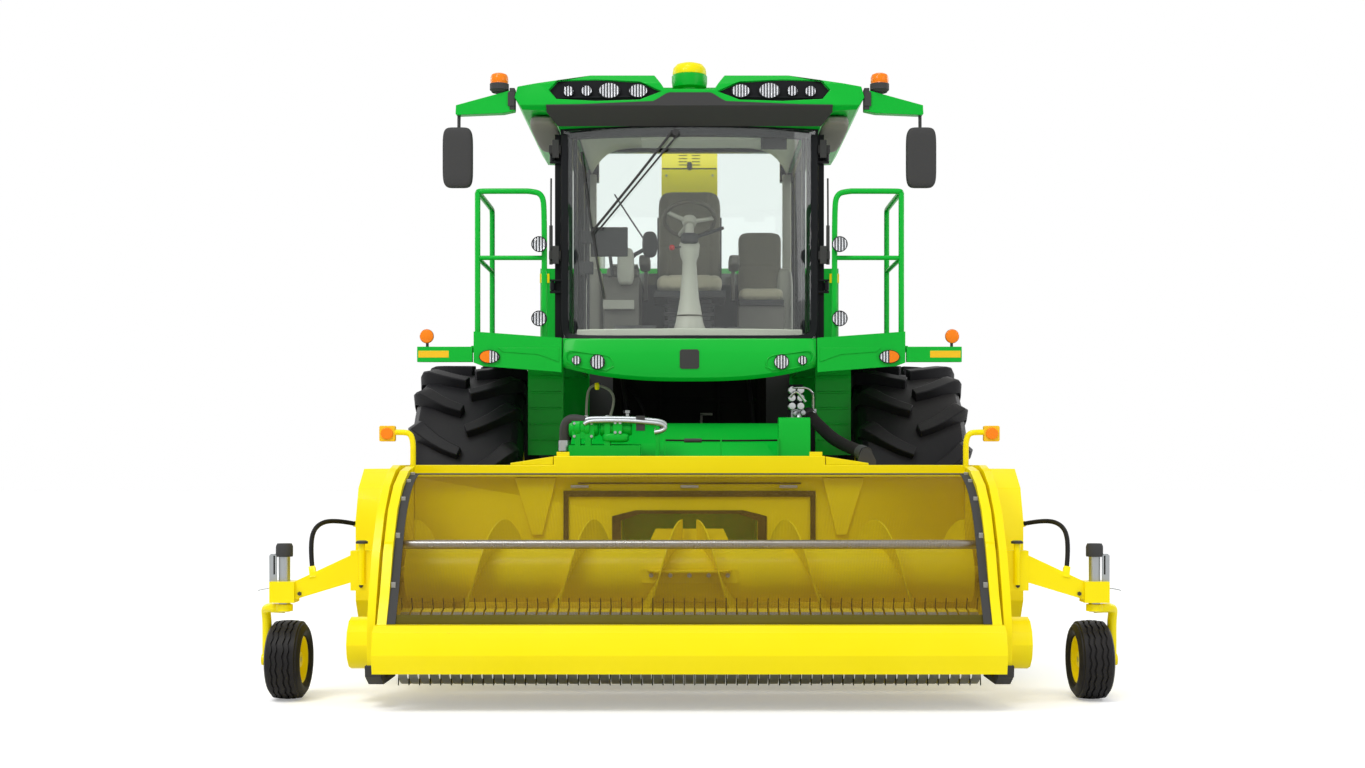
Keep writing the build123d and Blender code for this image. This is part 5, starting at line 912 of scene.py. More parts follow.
    piece("guard_roller_tube", [turned([(-1.516, 0.0), (-1.516, 0.0095), (-1.4695, 0.0096), (-1.4695, 0.022),
                                        (-1.46, 0.0235), (1.46, 0.0235), (1.4695, 0.022), (1.4695, 0.0096),
                                        (1.516, 0.0095), (1.516, 0.0)], 32, (0, -3.56, 0.79), "x")],
          "bright_steel", "press_roller", ("guard_roller",))

    bolt = turned([(0, 0.0), (0, 0.011), (-0.008, 0.01), (-0.008, 0.0)], 6, (0, 0, 0), "y")
    spots = [(1.645, -3.604, 0.735), (1.645, -3.604, 0.585), (1.955, -3.597, 0.545), (2.085, -3.603, 0.57),
             (2.085, -3.603, 0.53)]
    caps = turned([(0.797, 0.0), (0.797, 0.03), (0.807, 0.03), (0.812, 0.022), (0.812, 0.0)], 24, (1.64, -3.61, 0), "z")
    piece("arm_bolts", mirrored(copies(bolt, spots), caps), "cast_iron", "header")
    lamp_y = HINGE_Y + 0.12
    shapes = []
    for s, _ in SIDES:
        x = s * 1.631
        stem = tube([(s * 1.6, lamp_y, 1.366), (s * 1.56, lamp_y, 1.367), (s * 1.51, lamp_y, 1.362),
                     (s * 1.494, lamp_y, 1.32),
                     (s * 1.493, lamp_y, 1.25), (s * 1.494, lamp_y, 1.172)], 0.0155, 16, 8)
        shell = plate([(x - 0.043, 1.322), (x - 0.037, 1.3165), (x + 0.037, 1.3165), (x + 0.043, 1.322),
                       (x + 0.043, 1.396),
                       (x + 0.037, 1.4015), (x - 0.037, 1.4015), (x - 0.043, 1.396)], lamp_y - 0.016, lamp_y + 0.02,
                      "y")
        lap = np.arange(24) * TAU / 24
        pane = plate(np.column_stack([x + 0.033 * np.cos(lap), 1.359 + 0.031 * np.sin(lap)]), lamp_y - 0.026,
                     lamp_y - 0.0158,
                     "y")
        shapes += [(stem, 0), (shell, 1), (pane, 2)]
    piece("header_marker_lamps", shapes, ("yellow_gloss", "reflector_yellow", "warm_orange"), "header",
          ("header_lamps",), bevel=0.003)


def free_hose(name, points, radius, material, nodes, body="header"):
    """A hose as a smooth curve with the route's own points as its control points, and a round bevel."""
    curve = bpy.data.curves.new(name, "CURVE")
    curve.dimensions = "3D"
    curve.bevel_depth, curve.bevel_resolution, curve.resolution_u = radius, 5, 24
    curve.use_fill_caps = True
    line = curve.splines.new("NURBS")
    line.points.add(len(points) - 1)
    line.points.foreach_set("co", np.column_stack([points, np.ones(len(points))]).ravel())
    line.order_u = 3
    line.use_endpoint_u = True
    hose = bpy.data.objects.new(name, curve)
    bpy.context.scene.collection.objects.link(hose)
    curve.materials.append(bpy.data.materials[material])
    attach(hose, body)
    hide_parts(nodes)


def build_hoses():
    """The thick sleeve from the feeder to the header, and the hose to each gauge wheel arm."""
    free_hose("feeder_sleeve", [(0.728, -1.83, 1.492), (0.788, -2.1, 1.4), (0.868, -2.34, 1.31),
                                (0.978, -2.641, 1.255)],
              0.037, "sleeve_fabric", "feeder_hose")
    for s, side in SIDES:
        free_hose(f"gauge_hose_{side}", [(s * 1.765, -3.175, 0.88), (s * 1.865, -3.235, 0.905),
                                         (s * 1.925, -3.38, 0.88),
                                         (s * 1.925, -3.5, 0.79), (s * 1.9, -3.56, 0.675)],
                  0.012, "hose_rubber", f"header_hose_{side}")


def build_drive():
    """The machinery on the feeder's slope: motors, valve block, pipes, rod and hose clamps."""
    y = -2.4
    slope = lambda at: 1.0 + (0.26 / 0.31) * (at + 2.56) + 0.0005
    seat = [(y - 0.06, slope(y - 0.06)), (y + 0.06, slope(y + 0.06)), (y + 0.06, 1.31), (y - 0.06, 1.3)]
    raised = [(y - 0.06, slope(y - 0.06)), (y + 0.06, slope(y + 0.06)), (y + 0.06, 1.455), (y - 0.02, 1.462),
              (y - 0.05, 1.455), (y - 0.06, 1.42)]
    big = turned([(-0.69, 0.0), (-0.69, 0.046), (-0.682, 0.052), (-0.66, 0.054), (-0.655, 0.062), (-0.628, 0.062),
                  (-0.622, 0.054), (-0.6, 0.056), (-0.596, 0.062), (-0.574, 0.062), (-0.57, 0.05), (-0.53, 0.046),
                  (-0.52, 0.036), (-0.52, 0.0)], 40, (0, y, 1.4), "x")
    small = turned([(-0.515, 0.0), (-0.515, 0.034), (-0.505, 0.044), (-0.44, 0.044), (-0.436, 0.047), (-0.424, 0.047),
                    (-0.42, 0.043), (-0.34, 0.041), (-0.33, 0.034), (-0.33, 0.0)], 36, (0, y, 1.398), "x")
    shapes = [(plate(seat, -0.69, -0.28, "x"), 0), (plate(raised, 0.51, 0.69, "x"), 0), (big, 0), (small, 0),
              (block(-0.672, -0.545, y - 0.05, y + 0.05, 1.34, 1.44), 0),
              (block(-0.435, -0.385, y - 0.058, y + 0.058, 1.36, 1.447), 0),
              (plate([(y - 0.058, 1.1), (y + 0.058, 1.2), (y + 0.058, 1.43), (y - 0.058, 1.43)], -0.194, -0.17, "x"),
               0)]
    slab = plate([(-0.56, -2.44), (0.56, -2.44), (0.45, -2.2), (-0.455, -2.2)], 0.0, 0.014, "z")
    slab[0][:, 2] += slope(slab[0][:, 1])
    shapes.append((slab, 0))
    shapes += [(block(x - 0.016, x + 0.016, y - 0.052, y + 0.05, 1.28, 1.43), 0) for x in (-0.64, -0.58, -0.47)]
    shapes.append((pillow((-0.5, y - 0.062, 1.318), (-0.345, y + 0.04, 1.372), 0.5, 14), 0))
    bolt = turned([(0, 0.0), (0, 0.009), (-0.008, 0.0085), (-0.008, 0.0)], 6, (0, 0, 0), "y")
    heads = copies(bolt, [(x, y - 0.05, z) for x in (-0.658, -0.56) for z in (1.353, 1.427)]
                   + [(x, y - 0.058, z) for x in (-0.424, -0.396) for z in (1.375, 1.43)])
    shapes.append((heads, 1))
    for lift, ahead, start in ((1.452, -0.03, -0.62), (1.437, -0.056, -0.6), (1.445, 0.0, -0.55)):
        shapes.append((tube([(start, y + ahead, 1.42), (start + 0.01, y + ahead, lift),
                             (start + 0.1, y + ahead, lift + 0.004),
                             (-0.33, y + ahead, lift + 0.003), (-0.24, y + ahead, lift - 0.006),
                             (-0.165, y + ahead, lift - 0.012), (-0.135, y + ahead, lift - 0.03),
                             (-0.15, y + ahead, lift - 0.056), (-0.2, y + ahead, lift - 0.062)], 0.0135, 14, 7), 1))
    elbow = tube([(-0.6, y - 0.02, 1.44), (-0.67, y - 0.02, 1.458), (-0.712, y - 0.02, 1.43), (-0.72, y - 0.01, 1.36),
                  (-0.716, y, 1.24)], 0.029, 20, 8)
    collar = turned([(1.27, 0.0), (1.27, 0.034), (1.33, 0.034), (1.33, 0.0)], 24, (-0.7185, y - 0.005, 0), "z")
    clamp = block(-0.305, -0.255, y - 0.058, y + 0.014, 1.385, 1.47)
    shapes += [(elbow, 2), (collar, 1), (clamp, 2)]
    rod = tube([(-0.14, y - 0.07, 1.33), (0.2, y - 0.07, 1.325), (0.51, y - 0.07, 1.33)], 0.0055, 8, 4)
    joint = turned([(-0.05, 0.0), (-0.05, 0.012), (0.05, 0.012), (0.05, 0.0)], 12, (0.02, y - 0.07, 1.3285), "x")
    stands = [plate([(y - 0.078, slope(y - 0.078)), (y - 0.058, slope(y - 0.058)), (y - 0.058, 1.34),
                     (y - 0.078, 1.34)],
                    x - 0.004, x + 0.004, "x") for x in (-0.14, 0.18, 0.505)]
    shapes += [(rod, 3), (joint, 2)] + [(stand, 0) for stand in stands]
    shapes.append((block(0.62, 0.774, -1.816, -1.77, 1.441, 1.53), 1))
    for x, z in ((0.645, 1.5), (0.69, 1.505), (0.75, 1.5)):
        plug = turned([(0.0, 0.0), (0.0, 0.019), (-0.03, 0.019), (-0.034, 0.014), (-0.07, 0.014), (-0.072, 0.0)], 20,
                      (x, -1.816, z), "y")
        shapes.append((plug, 1))
    shapes.append((tube([(0.655, -1.88, 1.5), (0.66, -1.93, 1.5), (0.655, -1.94, 1.46), (0.655, -1.93, 1.43)],
                        0.011, 10, 6), 1))
    for start, toward, wide, length in (((0.728, -1.83, 1.492), (0.788, -2.1, 1.4), 0.043, 0.05),
                                        ((0.978, -2.641, 1.255), (0.868, -2.34, 1.31), 0.041, 0.045)):
        start, toward = np.array(start), np.array(toward)
        ahead = (toward - start) / np.linalg.norm(toward - start)
        shapes.append((tube([start - ahead * 0.02, start + ahead * length], wide, 28), 2))
    shapes.append((plate([(0.938, 1.1895), (0.938, 1.215), (0.952, 1.255), (0.966, 1.28), (0.99, 1.284), (1.012, 1.265),
                          (1.038, 1.215), (1.038, 1.1895)], -2.7, -2.67, "y"), 2))
    piece("drive_fittings", shapes, ("green_gloss", "zinc", "black_plastic", "dark_cavity", "yellow_gloss"), "header",
          ("header_drive",), bevel=0.002)


def build_couplers():
    """The bright coupler bank and the looped line on the feeder's flat top, which rise with the header."""
    bracket = block(0.6, 0.695, -1.8, -1.79, 1.436, 1.68)
    foot = block(0.6, 0.695, -1.83, -1.76, 1.436, 1.446)
    plug = turned([(0.0, 0.0), (0.0, 0.022), (-0.03, 0.022), (-0.034, 0.016), (-0.075, 0.016), (-0.08, 0.021),
                   (-0.095, 0.021),
                   (-0.097, 0.0)], 20, (0, -1.8, 0), "y")
    bank = [copies(plug, [(x, 0, z) for x in (0.622, 0.674) for z in (1.545, 1.595, 1.643)])]
    bank.append(tube([(0.6, -1.88, 1.648), (0.63, -1.895, 1.656), (0.68, -1.9, 1.657), (0.72, -1.89, 1.652),
                      (0.742, -1.87, 1.63),
                      (0.752, -1.85, 1.62), (0.753, -1.83, 1.53)], 0.0075, 10, 6))
    bank.append(tube([(0.61, -1.905, 1.6), (0.635, -1.92, 1.635), (0.665, -1.91, 1.62), (0.7, -1.9, 1.57)], 0.009, 10,
                     6))
    loop = tube([(-0.628, -1.82, 1.436), (-0.63, -1.82, 1.56), (-0.612, -1.825, 1.67), (-0.54, -1.83, 1.675),
                 (-0.462, -1.835, 1.63), (-0.46, -1.84, 1.54), (-0.5, -1.84, 1.436)], 0.0085, 10, 7)
    ends = [turned([(1.436, 0.0), (1.436, 0.014), (1.49, 0.014), (1.494, 0.0)], 16, (x, y, 0), "z")
            for x, y in ((-0.628, -1.82), (-0.499, -1.84))]
    clip = pillow((-0.578, -1.85, 1.645), (-0.548, -1.81, 1.69), 0.6, 12)
    piece("coupler_bank", [(shape, 0) for shape in bank + ends] + [(bracket, 1), (foot, 1), (loop, 2), (clip, 3)],
          ("bright_steel", "black_frame", "duct_grey", "yellow_gloss"), "header", bevel=0.001)


def build_casters():
    """Posts with caps, bent tube yokes and hub pins of the gauge wheels."""
    for s, side in SIDES:
        x, y, axle_y = s * 2.04, -3.56, -3.465
        outer = x + s * 0.112
        post = turned([(0.452, 0.0), (0.452, 0.0285), (0.79, 0.0285), (0.795, 0.0)], 32, (x, y, 0), "z")
        collar = turned([(0.455, 0.0), (0.455, 0.042), (0.488, 0.042), (0.492, 0.03), (0.493, 0.0)], 32, (x, y, 0), "z")
        cap = turned([(0.729, 0.0), (0.729, 0.041), (0.735, 0.0425), (0.78, 0.0425), (0.795, 0.036), (0.7955, 0.0)], 32,
                     (x, y, 0), "z")
        yoke = tube([(x, y, 0.468), (x + s * 0.05, y + 0.01, 0.4685), (outer - s * 0.02, y + 0.04, 0.468),
                     (outer + s * 0.002, axle_y - 0.02, 0.455), (outer, axle_y, 0.4), (outer, axle_y, 0.3),
                     (outer, axle_y, 0.18)], 0.0236, 20, smooth=8)
        plate_x = x + s * 0.052
        notched = plate([(plate_x - 0.019, 0.6), (plate_x + 0.019, 0.6), (plate_x + 0.019, 0.735),
                         (plate_x + 0.01, 0.744),
                         (plate_x - 0.01, 0.744), (plate_x - 0.019, 0.735)], y - 0.022, y - 0.014, "y")
        # The slot in the plate is a near-black bar: painted shade of the opening.
        slot_bar = block(plate_x - s * 0.006 - 0.004, plate_x - s * 0.006 + 0.004, y - 0.0225, y - 0.0215, 0.64, 0.735)
        split_pin = tube([(x + s * 0.05, y - 0.05, 0.575), (x + s * 0.1, y - 0.06, 0.57),
                          (x + s * 0.118, y - 0.06, 0.563)],
                         0.003, 8, 3)
        hub = turned([(0.0, 0.0), (0.0, 0.03), (0.036, 0.03), (0.036, 0.0)], 24, (0, 0, 0), "x")
        hub = (hub[0] * (s, 1, 1) + (x + s * 0.1, axle_y, 0.2), hub[1])
        pin = turned([(0.0, 0.0), (0.0, 0.0145), (0.16, 0.0145), (0.16, 0.0)], 20, (0, 0, 0), "x")
        pin = (pin[0] * (s, 1, 1) + (x - s * 0.06, axle_y, 0.2), pin[1])
        piece(f"height_plate_{side}", [(notched, 0), (slot_bar, 1), (split_pin, 0)], ("zinc", "dark_cavity"), "header",
              bevel=0.001)
        piece(f"caster_yoke_{side}", [(post, 1), (collar, 0), (cap, 2), (yoke, 0), (hub, 0), (pin, 1)],
              ("yellow_gloss", "zinc", "black_plastic"), f"{side}_caster", (f"caster_fork_{side}",))


# Cab

def build_cab_outside():
    """Roof pods and lamps, receiver, beacons, mirrors, wipers, rails and marker bars."""
    lamp_table = (
        # x, y of the mounting face, z, half width, half height, depth
        (0.481, -1.95, 3.438, 0.068, 0.05, 0.026), (0.308, -1.95, 3.436, 0.06, 0.043, 0.026),
        (0.727, -1.95, 3.434, 0.034, 0.034, 0.026), (0.618, -1.95, 3.436, 0.034, 0.034, 0.026),
        (0.671, -2.08, 1.81, 0.028, 0.028, 0.014), (0.546, -2.08, 1.8, 0.045, 0.045, 0.014),
        (1.187, -2.075, 1.831, 0.062, 0.04, 0.014), (0.896, -2.0, 2.505, 0.047, 0.047, 0.05),
        (0.896, -2.0, 2.062, 0.047, 0.047, 0.05),
    )
    housing, bowls, lenses = [], [], []
    for x, y, z, wide, high, deep in lamp_table:
        scale = np.array((wide, 1, high))
        ring = turned([(0, 0.0), (0, 0.86), (-deep * 0.6, 0.98), (-deep, 1.0), (-deep, 0.9), (-deep * 0.7, 0.86),
                       (-deep * 0.3, 0.5), (-deep * 0.25, 0.0)], 40, (0, 0, 0), "y")
        bowl = turned([(-deep * 0.92, 0.88), (-deep * 0.6, 0.7), (-deep * 0.38, 0.3), (-deep * 0.34, 0.0)], 40,
                      (0, 0, 0), "y")
        bulb = turned([(-deep * 0.34, 0.0), (-deep * 0.36, 0.18), (-deep * 0.6, 0.2), (-deep * 0.74, 0.0)], 20,
                      (0, 0, 0), "y")
        lens = turned([(-deep * 0.8, 0.0), (-deep * 0.8, 0.9), (-deep * 0.96, 0.9), (-deep * 1.08, 0.5),
                       (-deep * 1.1, 0.0)], 40, (0, 0, 0), "y")
        for shape, store in ((ring, housing), (bowl, bowls), (bulb, bowls), (lens, lenses)):
            store.append((shape[0] * scale + (x, y, z), shape[1]))
    pod = np.array([(0.172, 3.432), (0.3, 3.489), (0.56, 3.503), (0.788, 3.497), (0.842, 3.44), (0.798, 3.389),
                    (0.56, 3.377), (0.3, 3.385)])
    back = plate(pod, -1.9505, -1.947, "y")
    strip = plate([(0.24, 3.399), (0.8, 3.392), (0.8, 3.401), (0.24, 3.41)], -1.966, -1.9505, "y")
    piece("lamp_housings", mirrored(*housing) + mirrored(back, strip), "black_frame", "chassis", ("work_lamps",),
          bevel=0.001)
    piece("lamp_bowls", mirrored(*bowls), "lamp_reflector", "chassis")
    piece("lamp_lenses", mirrored(*lenses), "lamp_lens", "chassis")
    lap = np.linspace(math.pi / 2, -math.pi / 2, 15)
    amber = plate(np.column_stack([1.187 + 0.057 * np.cos(lap), 1.831 + 0.036 * np.sin(lap)]), -2.0925, -2.086, "y")
    piece("fender_indicators", mirrored(amber), "warm_orange", "chassis")

    x = np.linspace(-0.86, 0.86, 87)
    edge = np.interp(np.abs(x), (0, 0.13, 0.215, 0.66, 0.86), (3.424, 3.424, 3.372, 3.353, 3.3505))
    drawn_in = 0.8 / 0.86
    section = ((-1.9808, edge, 1), (-1.985, edge, 1), (-1.9855, 3.345 + 0 * x, 1), (-1.95, 3.312 + 0 * x, 1),
               (-1.866, 3.244 + 0 * x, drawn_in), (-1.863, 3.249 + 0 * x, drawn_in), (-1.947, 3.3195 + 0 * x, 1),
               (-1.9798, 3.3475 + 0 * x, 1))
    points = np.stack([np.stack([x * k, np.full(87, y), z], -1) for y, z, k in section], 1)
    piece("roof_visor", [grid(points, wrap_v=True, cap=True)], "black_plastic", "chassis")
    ducts = [pillow((0.802, -1.86, 3.252), (0.985, -0.9, 3.322), 0.45, 18)]
    blocks = [block(1.0503, 1.082, -1.962, -1.888, 3.325, 3.456), block(1.049, 1.092, -1.968, -1.962, 3.345, 3.43)]
    piece("roof_ducts", mirrored(*ducts), "duct_grey", "chassis")
    piece("mirror_hinges", mirrored(*blocks), "black_plastic", "chassis", bevel=0.004)
    rods = [tube([(0.85, -1.74, 2.42), (0.852, -1.745, 2.7), (0.85, -1.74, 2.95)], 0.006, 8, 4),
            turned([(2.42, 0.0), (2.42, 0.011), (2.66, 0.011), (2.66, 0.0)], 16, (0.851, -1.742, 0), "z")]
    for z in (2.45, 3.1):
        rods += [block(0.79, 0.862, -1.765, -1.71, z, z + 0.05), block(0.8, 0.84, -1.78, -1.765, z - 0.03, z + 0.08)]
    piece("door_stays", mirrored(*rods), "black_plastic", "chassis", bevel=0.002)

    y = ROOF_FRONT + 0.26
    body = turned([(3.447, 0.0), (3.447, 0.066), (3.47, 0.07), (3.5, 0.07), (3.508, 0.104), (3.54, 0.109),
                   (3.578, 0.109),
                   (3.583, 0.104), (3.584, 0.0)], 48, (0, y, 0), "z")
    dome = turned([(3.585, 0.0), (3.585, 0.103), (3.6, 0.104), (3.625, 0.1), (3.648, 0.082), (3.658, 0.05),
                   (3.6605, 0.0)],
                  48, (0, y, 0), "z")
    piece("receiver_dome", [(body, 0), (dome, 1)], ("green_gloss", "yellow_gloss"), "chassis", ("gps_receiver",))

    feet, domes = [], []
    foot_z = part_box("beacons")[0][2]
    for s, side in SIDES:
        at = (s * 1.147, -1.925, foot_z)
        feet.append(turned([(0, 0.0), (0, 0.045), (0.008, 0.05), (0.014, 0.0575), (0.05, 0.0575), (0.05, 0.0)], 40, at,
                           "z"))
        domes.append(turned([(0.051, 0.0), (0.051, 0.054), (0.056, 0.0515), (0.062, 0.054), (0.09, 0.053),
                             (0.106, 0.046),
                             (0.1135, 0.03), (0.1155, 0.0)], 40, at, "z"))
    piece("beacon_feet", feet, "black_plastic", "chassis", ("beacons",))
    piece("beacon_domes", domes, "warm_orange", "chassis")

    arm = plate([(1.0505, 3.449), (1.12, 3.431), (1.405, 3.353), (1.408, 3.3), (1.395, 3.294), (1.12, 3.305),
                 (1.0505, 3.32)], -1.957, -1.893, "y")
    rod = tube([(1.39, -1.93, 3.33), (1.39, -1.93, 3.2), (1.39, -1.945, 3.15), (1.39, -1.95, 3.1), (1.39, -1.95, 2.95)],
               0.0105, 12, smooth=4)
    head = pillow((1.3, -2.009, 2.851), (1.48, -1.945, 3.2125), 0.36, 24)
    glass = plate([(1.314, 2.88), (1.33, 2.866), (1.45, 2.866), (1.466, 2.88), (1.466, 3.18), (1.45, 3.196),
                   (1.33, 3.196), (1.314, 3.18)], -1.952, -1.943, "y")
    knuckle = pillow((1.362, -1.968, 3.15), (1.418, -1.93, 3.215), 0.5, 12)
    shapes = [(shape, 0) for shape in mirrored(arm)] + [(shape, 1) for shape in mirrored(rod, head, knuckle)]
    piece("mirror_arms", shapes + [(shape, 2) for shape in mirrored(glass)],
          ("green_gloss", "black_plastic", "mirror_glass"), "chassis", ("mirrors",), bevel=0.004)

    rail = 0.017
    outer, inner, front, end = 1.27, 0.87, -1.99, -1.26
    hoop = [(inner, front, DECK_TOP), (inner, front, 2.2), (inner, front, 2.7), (inner + 0.01, front, 2.815),
            (inner + 0.09, front, 2.83), (1.0, front, 2.83), (outer - 0.06, front, 2.83), (outer, front, 2.828),
            (outer, front + 0.06, 2.828), (outer, -1.6, 2.83), (outer, end - 0.07, 2.83), (outer, end, 2.828),
            (outer, end, 2.76), (outer, end, 2.3), (outer, end, DECK_TOP)]
    middle = [(inner, front, 2.43), (1.0, front, 2.43), (outer - 0.05, front, 2.43), (outer, front + 0.005, 2.43),
              (outer, front + 0.07, 2.43), (outer, -1.6, 2.43), (outer, end, 2.43)]
    post = [(outer, front, DECK_TOP), (outer, front, 2.82)]
    feet = [turned([(DECK_TOP, 0.0), (DECK_TOP, 0.04), (DECK_TOP + 0.008, 0.04), (DECK_TOP + 0.008, 0.02)], 20,
                   (x, y, 0), "z") for x, y in ((inner, front), (outer, front), (outer, end))]
    piece("rail_tubes", mirrored(tube(hoop, rail, 14, 7), tube(middle, rail - 0.003, 14, 7), tube(post, rail, 14),
                                 *feet),
          "green_gloss", "chassis", ("handrails",))

    shapes = []
    bar_y = (-2.074, -2.036)
    bar_shape = block(1.2905, 1.619, *bar_y, 1.801, 1.892)
    reflector = block(1.43, 1.612, bar_y[0] - 0.001, bar_y[0] + 0.004, 1.826, 1.868)
    stem = tube([(1.56, -2.06, 1.89), (1.56, -2.06, 1.925)], 0.009, 12)
    lamp_back = turned([(0, 0.0), (0, 0.038), (-0.018, 0.043), (-0.018, 0.0)], 32, (1.56, -2.064, 1.953), "y")
    lamp_front = turned([(-0.019, 0.0), (-0.019, 0.042), (-0.026, 0.038), (-0.03, 0.02), (-0.031, 0.0)], 32,
                        (1.56, -2.064, 1.953), "y")
    for shape, number in ((bar_shape, 0), (reflector, 2), (stem, 1), (lamp_back, 1), (lamp_front, 3)):
        shapes += [(made, number) for made in mirrored(shape)]
    piece("width_markers", shapes, ("green_gloss", "black_plastic", "reflector_yellow", "warm_orange"), "chassis",
          ("marker_bars",), bevel=0.003)

    def on_screen(x, z, lift=0.02):
        """A point just ahead of the bowed windscreen."""
        depth = CAB_FRONT - 0.0083 - SCREEN_BOW * (1 - (x / 0.774) ** 2)
        return (x, depth - lift, z)

    side = [(0.764, 3.215), (0.764, 2.9), (0.764, 2.6), (0.764, 2.3), (0.764, 2.08), (0.76, 1.985), (0.7, 1.965),
            (0.55, 1.96), (0.35, 1.957), (0.15, 1.956)]
    seal = [(-seal_x, seal_z) for seal_x, seal_z in side] + [(0.0, 1.956)] + side[::-1]
    seal = np.array([on_screen(seal_x, seal_z, 0.001) for seal_x, seal_z in spline(np.array(seal), 5)])
    piece("windscreen_seal", [carried(seal, [(-0.004, -0.019), (0.006, -0.019), (0.006, 0.019), (-0.004, 0.019)])],
          "black_frame", "chassis", bevel=0.002)
    wipers = [tube([on_screen(-0.11, 3.2, 0.03), on_screen(-0.3, 2.95, 0.035), on_screen(-0.6, 2.6, 0.03)], 0.008, 8,
                   6),
              tube([on_screen(-0.06, 3.2, 0.03), on_screen(-0.27, 2.95, 0.035), on_screen(-0.55, 2.62, 0.03)], 0.006, 8,
                   6),
              tube([on_screen(-0.66, 3.1, 0.012), on_screen(-0.6, 2.6, 0.014), on_screen(-0.52, 2.2, 0.012)], 0.007, 6,
                   6)]
    spindle = turned([(0.0, 0.0), (0.0, 0.028), (0.04, 0.02), (0.04, 0.0)], 20, (0, 0, 0), "y")
    spindle = (spindle[0] * (1, -1, 1) + on_screen(-0.085, 3.2, 0.0), spindle[1])
    piece("wipers", wipers + [spindle], "black_plastic", "chassis")


